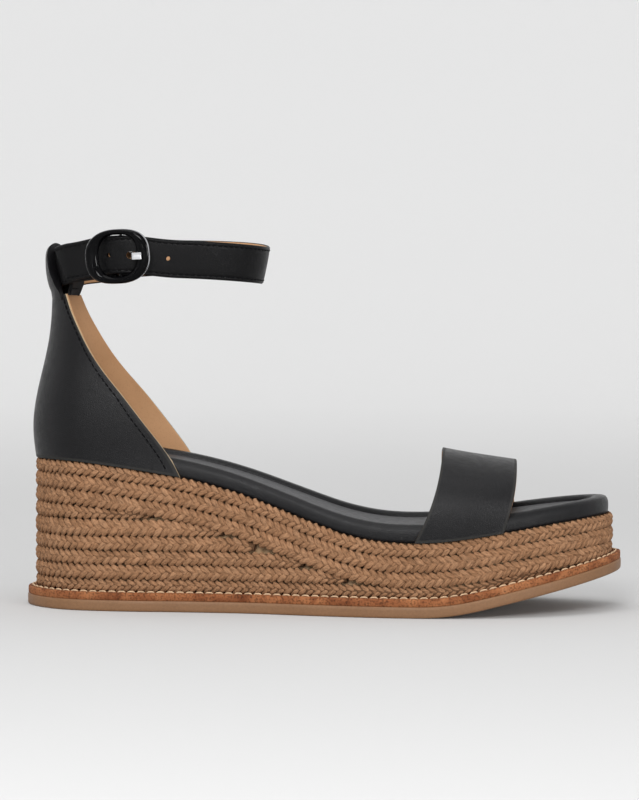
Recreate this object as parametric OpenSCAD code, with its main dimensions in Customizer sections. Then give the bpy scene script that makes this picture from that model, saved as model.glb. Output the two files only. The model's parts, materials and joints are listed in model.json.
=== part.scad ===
// Espadrille wedge sandal for the right foot. A padded footbed lies on a wedge wrapped in braided jute,
// a toe strap arches over it, and a heel counter rises to a folded tab that holds the ankle strap.
// The sole stands on z = 0 with its toe along +X and the buckle side along -Y.

/* [Sole] */
// Thickness of the rubber outsole
outsole_t = 4.6; // [3.8:0.1:5]
// Thickness of the leather welt on top of it
welt_t = 3.2; // [2.6:0.1:3.4]
// Width of the welt left bare around the rope
welt_ledge = 3; // [2.8:0.1:3.4]
// Slope of the raised toe
toe_angle = 13; // [10:0.5:14]
// Distance between welt stitches
welt_pitch = 4.2; // [4:0.1:5]

/* [Jute rope] */
// How deep the braid is, from the outside in
rope_depth = 5.4; // [4.8:0.1:5.6]
// Height of the first row below the footbed
row_1_h = 5.5; // [5:0.1:5.8]
// Height of the second row
row_2_h = 6.4; // [6:0.1:6.6]
// Height of the third row
row_3_h = 6.3; // [6:0.1:6.5]
// Gap left between two rows
row_gap = 0.14; // [0.1:0.02:0.3]

/* [Footbed] */
// Height of the footbed's wrapped side
footbed_h = 7.5; // [7:0.1:8]
// Thickness of the insole board
board_t = 2; // [1.6:0.1:2.2]
// Width of the raised, padded rim
rim_w = 7.5; // [6:0.1:9]
// Thickness of the leather that covers the footbed
cover_t = 1.3; // [1:0.05:1.35]
// Thickness of the sock lining
sock_t = 1.2; // [1:0.1:1.3]

/* [Upper] */
// Thickness of the black leather
leather_t = 0.9; // [0.8:0.02:0.92]
// Thickness of the heel stiffener
stiffener_t = 0.5; // [0.4:0.02:0.52]
// Thickness of the tan lining
lining_t = 0.6; // [0.5:0.02:0.62]
// Height of the counter's top edge, where the tab begins
counter_top = 132; // [131:0.1:132.2]

/* [Ankle strap] */
// Width of the strap
strap_w = 15.8; // [15:0.1:16.2]
// Thickness of the strap's black leather
strap_outer_t = 1.2; // [1:0.05:1.25]
// Thickness of the strap's tan lining
strap_lining_t = 0.75; // [0.6:0.05:0.8]
// Distance between two holes
hole_pitch = 8.25; // [8:0.05:8.5]
// Diameter of a hole
hole_d = 2; // [1.6:0.1:2.4]

/* [Buckle] */
// Length of the frame along the strap
frame_l = 28.6; // [28:0.1:29]
// Height of the frame
frame_w = 22.6; // [22.4:0.1:23]
// Radius of the centre bar
bar_r = 1.25; // [1.1:0.05:1.25]
// Running clearance of everything that turns on the bar
bar_gap = 0.07; // [0.05:0.01:0.1]
// Width of the prong
prong_w = 2.8; // [2.4:0.1:3]

/* [Hidden] */
$fn = 48;

// Colours
RUBBER = [0.62, 0.46, 0.30];
WELT = [0.72, 0.42, 0.22];
CREAM = [0.90, 0.84, 0.72];
JUTE = [0.60, 0.46, 0.34];
BLACK = [0.10, 0.10, 0.11];
TAN = [0.62, 0.46, 0.32];
BOARD = [0.66, 0.56, 0.42];
FOAM = [0.85, 0.80, 0.60];
STEEL = [0.62, 0.63, 0.65];
ENAMEL = [0.03, 0.03, 0.035];
CHROME = [0.80, 0.80, 0.82];

// ---------- Curves ----------
// A point between b and c on a smooth curve through a, b, c, d
function spline(a, b, c, d, t) =
    0.5 * (2 * b + (c - a) * t + (2 * a - 5 * b + 4 * c - d) * t * t
    + (3 * b - a - 3 * c + d) * t * t * t);
function closed_curve(p, steps) =
    let (n = len(p))
    [for (i = [0:n - 1]) for (k = [0:steps - 1])
        spline(p[(i + n - 1) % n], p[i], p[(i + 1) % n], p[(i + 2) % n], k / steps)];
function open_curve(p, steps) =
    let (n = len(p))
    [for (i = [0:n - 2]) for (k = [0:steps - 1])
        spline(p[max(i - 1, 0)], p[i], p[i + 1], p[min(i + 2, n - 1)], k / steps), p[n - 1]];
function bezier(p, t) =
    pow(1 - t, 3) * p[0] + 3 * pow(1 - t, 2) * t * p[1] + 3 * (1 - t) * t * t * p[2] + pow(t, 3) * p[3];
function unit(v) = v / norm(v);
function lerp(a, b, t) = a + (b - a) * t;
function signed_pow(v, e) = sign(v) * pow(abs(v), e);

// ---------- Plan of the sole ----------
// The outline runs from the toe tip along the buckle side to the heel, and back along the inner side
CURVE_STEPS = 4;
FOOT = [
    [126.5, 9], [121, -9], [105, -26], [81.5, -38], [54.5, -43.2], [26.5, -43], [0.5, -39.4],
    [-25.5, -34.4], [-53.5, -32.4], [-81.5, -32.2], [-105.5, -28], [-121, -15.5], [-126.5, 0],
    [-121, 15.5], [-105.5, 28], [-81.5, 32], [-53.5, 31], [-25.5, 31.4], [0.5, 35], [26.5, 40.4],
    [52.5, 43.4], [79.5, 41.6], [104.5, 34], [121, 24]
];
raw_outline = closed_curve(FOOT, CURVE_STEPS);
outline_mid = (max([for (p = raw_outline) p.y]) + min([for (p = raw_outline) p.y])) / 2;
outline = [for (p = raw_outline) [p.x, p.y - outline_mid]];
OUTLINE_N = len(outline);
HEEL_INDEX = 12 * CURVE_STEPS;
inward = [for (i = [0:OUTLINE_N - 1])
    let (d = unit(outline[(i + 1) % OUTLINE_N] - outline[(i + OUTLINE_N - 1) % OUTLINE_N])) [d.y, -d.x]];
function inset(dist) = [for (i = [0:OUTLINE_N - 1]) outline[i] + dist * inward[i]];

rope_inset = welt_ledge + rope_depth / 2;
core_inset = welt_ledge + rope_depth + 0.1;
footbed_inset = 5.5;
upper_t = leather_t + stiffener_t + lining_t + 0.1;
upper_inset = footbed_inset - 0.1 - upper_t;

// ---------- Side profile ----------
FLAT_END = 42.5;
toe_arc_end = 65.5;
toe_arc_r = (toe_arc_end - FLAT_END) / sin(toe_angle);
function floor_z(x) =
    x <= FLAT_END ? 0
    : x <= toe_arc_end ? toe_arc_r - sqrt(toe_arc_r * toe_arc_r - pow(x - FLAT_END, 2))
    : toe_arc_r * (1 - cos(toe_angle)) + (x - toe_arc_end) * tan(toe_angle);
// Stations where the underside changes direction
floor_x = concat([-130], [for (x = [FLAT_END:3.8:toe_arc_end]) x], [toe_arc_end, 130]);
sole_t = outsole_t + welt_t;
function welt_z(x) = floor_z(x) + sole_t;

// The line on which the footbed lies, from the heel to the toe
TOP_LINE = [
    [-134, 62.6], [-101.5, 61.9], [-73.5, 58.3], [-51.5, 54.4], [-32.5, 49.2], [-16.5, 43.5],
    [-1.5, 37.9], [10.5, 33.8], [24.5, 30.9], [39.5, 30.1], [54.5, 30.9], [73, 33.6], [92, 36.7],
    [111, 39.3], [134, 41.4]
];
top_line = open_curve(TOP_LINE, 3);
top_x = [for (p = top_line) p.x];
function top_z(x) = lookup(x, top_line);

// Lower edge of the three rows that follow the footbed, and the level rows under them
row_3_low = row_1_h + row_2_h + row_3_h;
function level_top(x) = max(top_z(x) - row_3_low, welt_z(x) + 0.2);
LEVELS = [38, 31, 24.9, 19, 12.9];
WAIST_X = FLAT_END - 3;

// A sheet of the sole between two side profiles, cut to the outline
BIG = 200;
module band(low, high) {
    rotate([90, 0, 0])
        linear_extrude(BIG, center = true)
            polygon(concat(low, [for (i = [len(high) - 1:-1:0]) high[i]]));
}
module cut_to(dist) {
    linear_extrude(BIG) polygon(inset(dist));
}
function floor_line(lift) = [for (x = floor_x) [x, floor_z(x) + lift]];
function footbed_line(lift) = [for (x = top_x) [x, top_z(x) + lift]];
module footbed_layer(dist, low, high) {
    intersection() {
        band(footbed_line(low), footbed_line(high));
        cut_to(dist);
    }
}

// ---------- Solids built from rings and grids of points ----------
function strip(a, b, c, d) = [[a, b, c], [a, c, d]];
module ring_solid(rings, closed = false) {
    n = len(rings[0]);
    m = len(rings);
    sides = [for (j = [0:m - (closed ? 1 : 2)]) for (i = [0:n - 1])
        each strip(j * n + i, ((j + 1) % m) * n + i, ((j + 1) % m) * n + (i + 1) % n, j * n + (i + 1) % n)];
    ends = closed ? [] : [[for (i = [0:n - 1]) i], [for (i = [n - 1:-1:0]) (m - 1) * n + i]];
    polyhedron([for (r = rings) each r], concat(sides, ends), convexity = 8);
}
// A sheet between two surfaces, each given as rows of points
module sheet_solid(outer, inner) {
    rows = len(outer);
    cols = len(outer[0]);
    rings = [for (c = [0:cols - 1])
        concat([for (r = [0:rows - 1]) outer[r][c]], [for (r = [rows - 1:-1:0]) inner[r][c]])];
    n = 2 * rows;
    // Both faces are split along the same diagonals, so that layers laid together stay clear
    sides = [for (c = [0:cols - 2]) for (i = [0:n - 1])
        let (p = c * n + i, q = c * n + (i + 1) % n)
        each i < rows ? strip(p, p + n, q + n, q) : strip(p + n, q + n, q, p)];
    first = [for (r = [0:rows - 2]) each strip(r, r + 1, n - 2 - r, n - 1 - r)];
    base = (cols - 1) * n;
    last = [for (r = [0:rows - 2]) each strip(base + n - 1 - r, base + n - 2 - r, base + r + 1, base + r)];
    polyhedron([for (r = rings) each r], concat(sides, first, last), convexity = 8);
}

// ---------- Sole ----------
module outsole() {
    color(RUBBER) intersection() {
        band(floor_line(0), floor_line(outsole_t));
        cut_to(0);
    }
}

module welt() {
    color(WELT) intersection() {
        band(floor_line(outsole_t), floor_line(sole_t));
        cut_to(0.25);
    }
}

STITCH_L = 3.1;
STITCH_W = 0.8;
STITCH_H = 0.5;
STITCH_LIFT = 0.13;
stitch_path = inset(welt_ledge - STITCH_W);
stitch_steps = [for (i = [0:OUTLINE_N - 1]) norm(stitch_path[(i + 1) % OUTLINE_N] - stitch_path[i])];
function run_to(i) = i == 0 ? 0 : run_to(i - 1) + stitch_steps[i - 1];
stitch_run = [for (i = [0:OUTLINE_N]) run_to(i)];
stitch_n = floor(stitch_run[OUTLINE_N] / welt_pitch);
function path_at(s) =
    let (x = [for (i = [0:OUTLINE_N]) [stitch_run[i], stitch_path[i % OUTLINE_N].x]],
         y = [for (i = [0:OUTLINE_N]) [stitch_run[i], stitch_path[i % OUTLINE_N].y]])
    [lookup(s, x), lookup(s, y)];

module welt_stitches() {
    color(CREAM) for (k = [0:stitch_n - 1]) {
        s = (k + 0.5) * stitch_run[OUTLINE_N] / stitch_n;
        a = path_at(s - STITCH_L / 2);
        b = path_at(s + STITCH_L / 2);
        mid = (a + b) / 2;
        rise = welt_z(b.x) - welt_z(a.x);
        z = max(welt_z(mid.x), (welt_z(a.x) + welt_z(b.x)) / 2) + STITCH_LIFT + STITCH_H / 2;
        translate([mid.x, mid.y, z])
            rotate([0, -atan2(rise, norm(b - a)), atan2(b.y - a.y, b.x - a.x)])
                cube([STITCH_L, STITCH_W, STITCH_H], center = true);
    }
}

SHANK_W = 14;
SHANK_T = 1.5;
SHANK_HEEL = -96;
SHANK_TOE = 16;
RIVET_X = [-88, -70];
RIVET_R = 2;
RIVET_HEAD_R = 3.6;
RIVET_HEAD_T = 0.8;
// Room left under each head for the slope of the shank
RIVET_LIFT = 0.65;

// The length of the core or board over which the shank runs
module shank_space(low, high, slack) {
    intersection() {
        band(footbed_line(low), footbed_line(high));
        translate([SHANK_HEEL - slack, -SHANK_W / 2 - slack, 0])
            cube([SHANK_TOE - SHANK_HEEL + 2 * slack, SHANK_W + 2 * slack, BIG]);
    }
}

module wedge_core() {
    color(TAN) difference() {
        intersection() {
            band(floor_line(sole_t + 0.02), footbed_line(-0.02));
            cut_to(core_inset);
        }
        shank_space(-SHANK_T - 0.15, 1, 0.2);
        for (x = RIVET_X)
            translate([x, 0, top_z(x) - SHANK_T - RIVET_HEAD_T - RIVET_LIFT - 0.2])
                cylinder(r = RIVET_HEAD_R + 0.3, h = 5);
    }
}

module shank() {
    color(STEEL) difference() {
        shank_space(-SHANK_T - 0.1, -0.1, 0);
        for (x = RIVET_X) translate([x, 0, 0]) cylinder(r = RIVET_R + 0.05, h = BIG);
    }
}

module shank_rivets() {
    color(STEEL) for (x = RIVET_X) {
        low = top_z(x) - SHANK_T - RIVET_LIFT - RIVET_HEAD_T;
        high = top_z(x) + board_t + RIVET_LIFT;
        translate([x, 0, low]) cylinder(r = RIVET_HEAD_R, h = RIVET_HEAD_T);
        translate([x, 0, low]) cylinder(r = RIVET_R, h = high - low);
        translate([x, 0, high]) cylinder(r = RIVET_HEAD_R, h = RIVET_HEAD_T);
    }
}

// ---------- Jute rope ----------
rope_path = inset(rope_inset);
ROPE_SIDES = 8;
function rope_ring(i, low, high) =
    let (p = rope_path[i], n = inward[i], stretch = 1 / cos(180 / ROPE_SIDES),
         depth = (rope_depth / 2 - 0.05) * stretch, h = ((high - low) / 2 - row_gap / 2) * stretch)
    [for (k = [0:ROPE_SIDES - 1]) let (a = (k + 0.5) * 360 / ROPE_SIDES)
        [p.x + n.x * depth * cos(a), p.y + n.y * depth * cos(a), (low + high) / 2 - h * sin(a)]];

// A row that runs all the way round, a fixed distance below the footbed
module full_row(from_top, height) {
    color(JUTE) ring_solid([for (i = [0:OUTLINE_N - 1])
        let (high = top_z(rope_path[i].x) - from_top, low = max(high - height, level_top(rope_path[i].x)))
        rope_ring(i, low, high)], closed = true);
}

// A level row round the heel, whose two ends are tucked under the third row
MIN_ROW_H = 1.1;
function row_top(k, x) =
    k > 0 && x < WAIST_X ? min(level_top(x), LEVELS[k - 1]) : level_top(x);
function row_low(k, x) = k < 5 ? LEVELS[k] : welt_z(x);
module level_row(k) {
    reach = k < 5 ? WAIST_X : BIG;
    color(JUTE) ring_solid([for (i = [0:OUTLINE_N - 1])
        let (x = rope_path[i].x)
        if (x < reach && row_top(k, x) - row_low(k, x) > MIN_ROW_H)
            rope_ring(i, row_low(k, x), row_top(k, x))]);
}

module jute_row_1() { full_row(0, row_1_h); }
module jute_row_2() { full_row(row_1_h, row_2_h); }
module jute_row_3() { full_row(row_1_h + row_2_h, row_3_h); }
module jute_row_4() { level_row(0); }
module jute_row_5() { level_row(1); }
module jute_row_6() { level_row(2); }
module jute_row_7() { level_row(3); }
module jute_row_8() { level_row(4); }
module jute_row_9() { level_row(5); }

// ---------- Footbed ----------
wall_inset = footbed_inset + cover_t + 0.05;
rim_inset = footbed_inset + rim_w;
foam_low = board_t + 0.05;
sock_low = footbed_h - 2 - sock_t;
EDGE_STEP = 0.9;

module insole_board() {
    color(BOARD) difference() {
        footbed_layer(wall_inset, 0.05, board_t);
        for (x = RIVET_X) translate([x, 0, 0]) cylinder(r = RIVET_R + 0.05, h = BIG);
    }
}

module footbed_foam() {
    color(FOAM) difference() {
        footbed_layer(wall_inset, foam_low, footbed_h - cover_t - 0.05);
        footbed_layer(rim_inset - 0.05, sock_low - 0.05, footbed_h);
        for (x = RIVET_X)
            translate([x, 0, top_z(x) + board_t - 1])
                cylinder(r = RIVET_HEAD_R + 0.2, h = RIVET_HEAD_T + 2.4);
    }
}

module footbed_cover() {
    color(BLACK) difference() {
        union() {
            footbed_layer(footbed_inset, 0.05, footbed_h - cover_t);
            footbed_layer(footbed_inset + EDGE_STEP, footbed_h - cover_t - 0.1, footbed_h);
        }
        footbed_layer(wall_inset - 0.05, -1, footbed_h - cover_t);
        footbed_layer(rim_inset, -1, footbed_h + 1);
    }
}

module sock_lining() {
    color(BLACK) footbed_layer(rim_inset + 0.05, sock_low, sock_low + sock_t);
}

// ---------- Upper: shared ----------
// The line round the sole where the leather leaves it, split into its two sides
upper_path = inset(upper_inset);
outer_side = [for (i = [0:HEEL_INDEX]) [upper_path[i].x, -upper_path[i].y]];
inner_side = [for (i = [HEEL_INDEX:OUTLINE_N]) [upper_path[i % OUTLINE_N].x, upper_path[i % OUTLINE_N].y]];
function side_y(x, side) = side < 0 ? -lookup(x, outer_side) : lookup(x, inner_side);
UPPER_LIFT = 0.1;

// ---------- Toe strap ----------
// Where its rear and front edges meet the sole, and where they cross the top of the arch
VAMP_REAR = [40.5, 51.2, 46];
VAMP_FRONT = [76.8, 82.2, 83];
// Height of the arch above the footbed line at its rear and front edges
VAMP_RISE = [37, 27.6];
VAMP_COLS = 26;
VAMP_ROWS = 7;
ARCH_POWER = 0.8;
SIDE_BULGE = 0.045;
EDGE_SWEEP = 1.9;
function edge_x(e, a) = lerp(lerp(e[0], e[2], (1 - cos(a)) / 2), e[1],
    1 - pow(1 - min(1, pow(sin(a), ARCH_POWER)), EDGE_SWEEP));
function vamp_point(t, a) =
    let (x = lerp(edge_x(VAMP_REAR, a), edge_x(VAMP_FRONT, a), t),
         yo = side_y(x, -1), yi = side_y(x, 1),
         mid = (yo + yi) / 2, half = (yi - yo) / 2,
         bulge = 1 + SIDE_BULGE * max(0, sin(3 * min(a, 180 - a, 60))),
         rise = lerp(VAMP_RISE[0], VAMP_RISE[1], t))
    [x, mid - half * bulge * signed_pow(cos(a), ARCH_POWER),
     top_z(x) + UPPER_LIFT + rise * pow(sin(a), ARCH_POWER)];
// Points on the arch, moved inward by a depth along the surface's own normal
function vamp_grid(depth) =
    [for (r = [0:VAMP_ROWS - 1]) [for (c = [0:VAMP_COLS])
        let (t = r / (VAMP_ROWS - 1), a = 180 * c / VAMP_COLS,
             d = vamp_point(t, min(a + 1, 180)) - vamp_point(t, max(a - 1, 0)),
             n = c == 0 ? [1, 0] : c == VAMP_COLS ? [-1, 0] : unit([d.z, -d.y]))
        vamp_point(t, a) + [0, n[0], n[1]] * depth]];

module vamp_outer() {
    color(BLACK) sheet_solid(vamp_grid(0), vamp_grid(leather_t + stiffener_t));
}

module vamp_lining() {
    color(TAN) sheet_solid(vamp_grid(leather_t + stiffener_t + 0.08), vamp_grid(upper_t));
}

// ---------- Heel counter ----------
// Rearmost point, forward edge and narrowing of the counter at each height
BACK_LINE = [
    [52, -122.9], [62, -123.1], [70, -124.2], [78, -124.5], [87, -123.3], [95, -121.6], [104, -119.4],
    [114, -117.4], [124, -116.4], [134, -116.2]
];
FRONT_EDGE = [
    [52, -56], [60, -59], [66, -63], [72, -67.5], [80, -74], [89, -81], [98, -89], [107, -95.8],
    [117, -101.7], [127, -107], [134, -109.2]
];
LENGTH_SCALE = [
    [52, 1], [70, 1], [80, 0.98], [90, 0.94], [102, 0.86], [116, 0.78], [126, 0.74], [134, 0.72]
];
WIDTH_SCALE = [
    [52, 1], [64, 1.01], [78, 1.04], [90, 1.01], [102, 0.93], [116, 0.83], [126, 0.77], [134, 0.745]
];
back_line = open_curve(BACK_LINE, 4);
front_edge = open_curve(FRONT_EDGE, 4);
length_scale = open_curve(LENGTH_SCALE, 4);
width_scale = open_curve(WIDTH_SCALE, 4);
heel_x = upper_path[HEEL_INDEX].x;
COUNTER_COLS = 26;
COUNTER_ROWS = 11;
foot_reach = lookup(56, front_edge) - heel_x;
// How much further forward the edge lies on the inner side
INNER_REACH = 1;
// s runs from -1 at the buckle side's edge to 1 at the inner side's edge, v from 0 to 1 up the counter
function counter_point(s, v) =
    let (grow = 1 - cos(90 * abs(s)),
         low = top_z(heel_x + foot_reach * grow) + UPPER_LIFT,
         z = lerp(low, counter_top, v),
         k = lookup(z, length_scale), back = lookup(z, back_line),
         front = lookup(z, front_edge) + (s > 0 ? INNER_REACH : 0),
         plan_x = heel_x + (front - back) / k * grow)
    [back + k * (plan_x - heel_x), lookup(z, width_scale) * side_y(plan_x, s), z];
function counter_normal(s, v) =
    let (e = 0.02, d = counter_point(min(s + e, 1), v) - counter_point(max(s - e, -1), v))
    unit([d.y, -d.x, 0]);
function counter_grid(depth) =
    [for (r = [0:COUNTER_ROWS]) [for (c = [-COUNTER_COLS / 2:COUNTER_COLS / 2])
        let (s = 2 * c / COUNTER_COLS, v = r / COUNTER_ROWS)
        counter_point(s, v) + depth * counter_normal(s, v)]];

module counter_outer() {
    color(BLACK) sheet_solid(counter_grid(0), counter_grid(leather_t));
}

module counter_stiffener() {
    color(BOARD) sheet_solid(counter_grid(leather_t + 0.04), counter_grid(leather_t + 0.04 + stiffener_t));
}

module counter_lining() {
    color(TAN) sheet_solid(counter_grid(leather_t + stiffener_t + 0.09), counter_grid(upper_t));
}

// Thread along each forward edge, on the outside of the leather
THREAD_T = 0.3;
THREAD_W = 0.44;
THREAD_LIFT = 0.07;
THREAD_S = 0.955;
THREAD_ROWS = 14;
module counter_thread() {
    color(BLACK) for (side = [-1, 1])
        ring_solid([for (r = [0:THREAD_ROWS])
            let (v = 0.03 + 0.94 * r / THREAD_ROWS, p = counter_point(side * THREAD_S, v),
                 n = counter_normal(side * THREAD_S, v), w = [-n.y, n.x, 0] * THREAD_W / 2,
             near = p - n * THREAD_LIFT, far = near - n * THREAD_T)
            [near - w, near + w, far + w, far - w]]);
}

// ---------- Heel tab ----------
// The tab and the part of the strap inside it follow one vertical axis, so the strap can slide through
STRAP_AXIS_X = -94.5;
STRAP_R = 20;
STRAP_REAR_Z = 142.4;
// How far the strap leans outward at its top, from the heel to the front
FLARE_LINE = [[-130, 5], [-95, 5], [-60, 8], [-30, 11], [0, 11]];
HEEL_FLARE = FLARE_LINE[0][1];
strap_t = strap_outer_t + strap_lining_t + 0.05;
TAB_GAP = 0.6;
TAB_ANGLE = 46;
TAB_TOP_ANGLE = 31;
tab_low = counter_top + 1;
tab_high = STRAP_REAR_Z + 10.8;
TAB_T = 1.1;
function strap_face(z) = STRAP_R + (z - STRAP_REAR_Z) * tan(HEEL_FLARE);
tab_out = strap_t / 2 + TAB_GAP;
tab_in = strap_t / 2 + 0.45;
fold_low = tab_high - 3.6;
fold_mid = tab_high - 1.9;

module tab_sector() {
    translate([STRAP_AXIS_X, 0, 0]) rotate([0, 0, 180 - TAB_ANGLE - 2])
        rotate_extrude(angle = 2 * TAB_ANGLE + 4, $fn = 96) children();
}

// The two slanted planes that narrow the tab towards its top
module tab_taper() {
    slant = atan((TAB_ANGLE - TAB_TOP_ANGLE) * STRAP_R * PI / 180 / (tab_high - tab_low));
    for (side = [-1, 1])
        translate([STRAP_AXIS_X, 0, tab_low])
            rotate([0, 0, 180 + side * TAB_ANGLE])
                rotate([side * slant, 0, 0])
                    translate([0, side > 0 ? 0 : -20, -10]) cube([40, 20, 50]);
}

module heel_tab() {
    color(BLACK) difference() {
        tab_sector() polygon([
            [strap_face(tab_low) - 0.6, tab_low],
            [strap_face(tab_low) + TAB_T + 0.2, tab_low],
            [strap_face(tab_low + 2) + tab_out + TAB_T, tab_low + 1.6],
            [strap_face(fold_low) + tab_out + TAB_T, fold_low],
            [strap_face(fold_mid) + tab_out + 0.7, fold_mid],
            [strap_face(tab_high) + tab_out - 0.7, tab_high - 0.5],
            [strap_face(tab_high), tab_high],
            [strap_face(tab_high) - 2.1, tab_high - 0.8],
            [strap_face(fold_low) - tab_in - 1, fold_low],
            [strap_face(fold_low) - tab_in, fold_low],
            [strap_face(fold_mid) - 1.4, fold_mid + 0.3],
            [strap_face(fold_mid), tab_high - TAB_T],
            [strap_face(fold_mid) + 1.1, fold_mid + 0.5],
            [strap_face(fold_low) + tab_out, fold_low],
            [strap_face(tab_low + 2) + tab_out, tab_low + 1.6],
            [strap_face(tab_low) + 0.5, tab_low + 0.9]
        ]);
        tab_taper();
    }
}

module heel_tab_patch() {
    color(BLACK) difference() {
        tab_sector() polygon([
            [strap_face(tab_low) - tab_in - 1, tab_low],
            [strap_face(tab_low) - 0.7, tab_low],
            [strap_face(tab_low + 1) - tab_in + 0.3, tab_low + 0.9],
            [strap_face(fold_low) - tab_in, fold_low - 0.1],
            [strap_face(fold_low) - tab_in - 1, fold_low - 0.1]
        ]);
        tab_taper();
    }
}

module heel_tab_thread() {
    seam_z = tab_low + 1.2;
    seam_angle = TAB_ANGLE - 6;
    color(BLACK) translate([STRAP_AXIS_X, 0, 0]) rotate([0, 0, 180 - seam_angle])
        rotate_extrude(angle = 2 * seam_angle, $fn = 96)
            translate([strap_face(seam_z) - tab_in - 1.3, seam_z]) circle(r = 0.22, $fn = 16);
}

// ---------- Ankle strap ----------
ARC_ANGLE = 62;
ARC_RISE = 2.2;
function arc_point(a) =
    [STRAP_AXIS_X - STRAP_R * cos(a), STRAP_R * sin(a), STRAP_REAR_Z + ARC_RISE * pow(a / ARC_ANGLE, 2)];
// Each side leaves the arc along its tangent and runs to the widest point, then round to the front
SIDE_PULL = 13;
FRONT_X = -25.3;
FRONT_Y_PULL = 17;
FRONT_X_PULL = 27;
FRONT_Z = 144.5;
FRONT_TILT = 2.7;
WIDE_X = -73.5;
WIDE_Y = 29.5;
OUTER_WIDE_Z = 146.5;
INNER_WIDE_Z = 148.5;
function rear_curve(side, wide_z) =
    let (start = arc_point(side * ARC_ANGLE))
    [start, start + SIDE_PULL * [sin(ARC_ANGLE), side * cos(ARC_ANGLE), 0.1],
     [WIDE_X - SIDE_PULL, side * WIDE_Y, wide_z], [WIDE_X, side * WIDE_Y, wide_z]];
function front_curve(side, wide_z) =
    [[WIDE_X, side * WIDE_Y, wide_z], [WIDE_X + FRONT_X_PULL, side * WIDE_Y, wide_z],
     [FRONT_X, side * FRONT_Y_PULL, FRONT_Z + max(side, 0) * FRONT_TILT], [FRONT_X, 0, FRONT_Z]];
outer_rear = rear_curve(-1, OUTER_WIDE_Z);
outer_front = front_curve(-1, OUTER_WIDE_Z);
inner_rear = rear_curve(1, INNER_WIDE_Z);
inner_front = front_curve(1, INNER_WIDE_Z);

// The bar of the buckle lies on the outer side, at this place on its rear curve
BAR_T = 0.785;
// Tilt of the buckle in the plane of the strap
BAR_TILT = 2.3;
LOOP_T = 1.1;
loop_r = bar_r + bar_gap;
loop_out = loop_r + LOOP_T;
bar_point = bezier(outer_rear, BAR_T);
bar_dir = bezier(outer_rear, BAR_T + 0.02) - bezier(outer_rear, BAR_T - 0.02);
bar_heading = atan2(bar_dir.y, bar_dir.x);
bar_flare = lookup(bar_point.x, FLARE_LINE);
// How far the tail is lifted off the strap's own line as it passes over the bar, and near its end
lift_at_bar = loop_out + strap_t / 2 + 0.35;
lift_at_end = strap_t + 0.3;
tail_lift = open_curve([
    [-140, lift_at_end], [bar_point.x - 17, lift_at_end], [bar_point.x - 10, lift_at_end + 0.4],
    [bar_point.x - 4, lift_at_bar], [bar_point.x + 4, lift_at_bar], [bar_point.x + 12, 2.4],
    [bar_point.x + 20, 0.7], [bar_point.x + 28, 0], [0, 0]], 4);

// How far the tail rides up where it is pulled through the frame
tail_rise = open_curve([
    [-140, 0.3], [bar_point.x - 22, 0.6], [bar_point.x - 10, 1.4], [bar_point.x, 1.6],
    [bar_point.x + 8, 1.2], [bar_point.x + 16, 0.3], [bar_point.x + 24, 0], [0, 0]], 4);

STEP_INNER = 6;
STEP_REAR = 10;
STEP_FRONT = 12;
STEP_ARC = 20;
STEP_TAIL = 16;
TAIL_CLEAR = 3.5;
// Every stretch of the strap, from the bar round the heel and the front, and back over the bar
inner_layer = [for (k = [0:STEP_INNER - 1]) bezier(outer_rear, lerp(BAR_T - 0.1, 0, k / STEP_INNER))];
heel_arc = [for (k = [0:STEP_ARC]) arc_point(lerp(-ARC_ANGLE, ARC_ANGLE, k / STEP_ARC))];
inner_run = concat([for (k = [1:STEP_REAR]) bezier(inner_rear, k / STEP_REAR)],
                   [for (k = [1:STEP_FRONT]) bezier(inner_front, k / STEP_FRONT)]);
outer_run = concat([for (k = [STEP_FRONT - 1:-1:0]) bezier(outer_front, k / STEP_FRONT)],
                   [for (k = [STEP_TAIL - 1:-1:0]) bezier(outer_rear, k / STEP_TAIL)],
                   [for (k = [1:4]) arc_point(lerp(-ARC_ANGLE, -TAB_ANGLE - TAIL_CLEAR, k / 4))]);
strap_path = concat(inner_layer, heel_arc, inner_run, outer_run);
STRAP_N = len(strap_path);
FIRST_OUTER = STRAP_N - len(outer_run);

// The strap's own directions at each place: along it, out of it, and across it
function along(i) = unit(strap_path[min(i + 1, STRAP_N - 1)] - strap_path[max(i - 1, 0)]);
function outward(i) = let (u = unit([along(i).x, along(i).y])) [-u.y, u.x, 0];
function flare(i) = lookup(strap_path[i].x, FLARE_LINE);
function across(i) = outward(i) * sin(flare(i)) + [0, 0, cos(flare(i))];
function through(i) = outward(i) * cos(flare(i)) - [0, 0, sin(flare(i))];
function lift(i) = i < FIRST_OUTER ? 0 : lookup(strap_path[i].x, tail_lift);
function rise(i) = i < FIRST_OUTER ? 0 : lookup(strap_path[i].x, tail_rise);
// The end of the tail is cut on the slant, next to the edge of the tab
TAIL_SLANT = 7;
function slant(i) = i > STRAP_N - 6 ? TAIL_SLANT * (i - STRAP_N + 6) / 5 : 0;
function strap_at(i, up, out) =
    strap_path[i] + outward(i) * lift(i) + across(i) * (up + rise(i)) + through(i) * out
    + along(i) * slant(i) * up / strap_w;
module strap_layer(out_low, out_high, half) {
    ring_solid([for (i = [0:STRAP_N - 1])
        [strap_at(i, -half, out_low), strap_at(i, -half, out_high),
         strap_at(i, half, out_high), strap_at(i, half, out_low)]]);
}

// Places things in the frame of the bar: x along the strap, -y out of it, z up
module at_bar() {
    translate(bar_point) rotate([0, 0, bar_heading]) rotate([bar_flare, 0, 0])
        rotate([0, -BAR_TILT, 0]) children();
}

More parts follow.
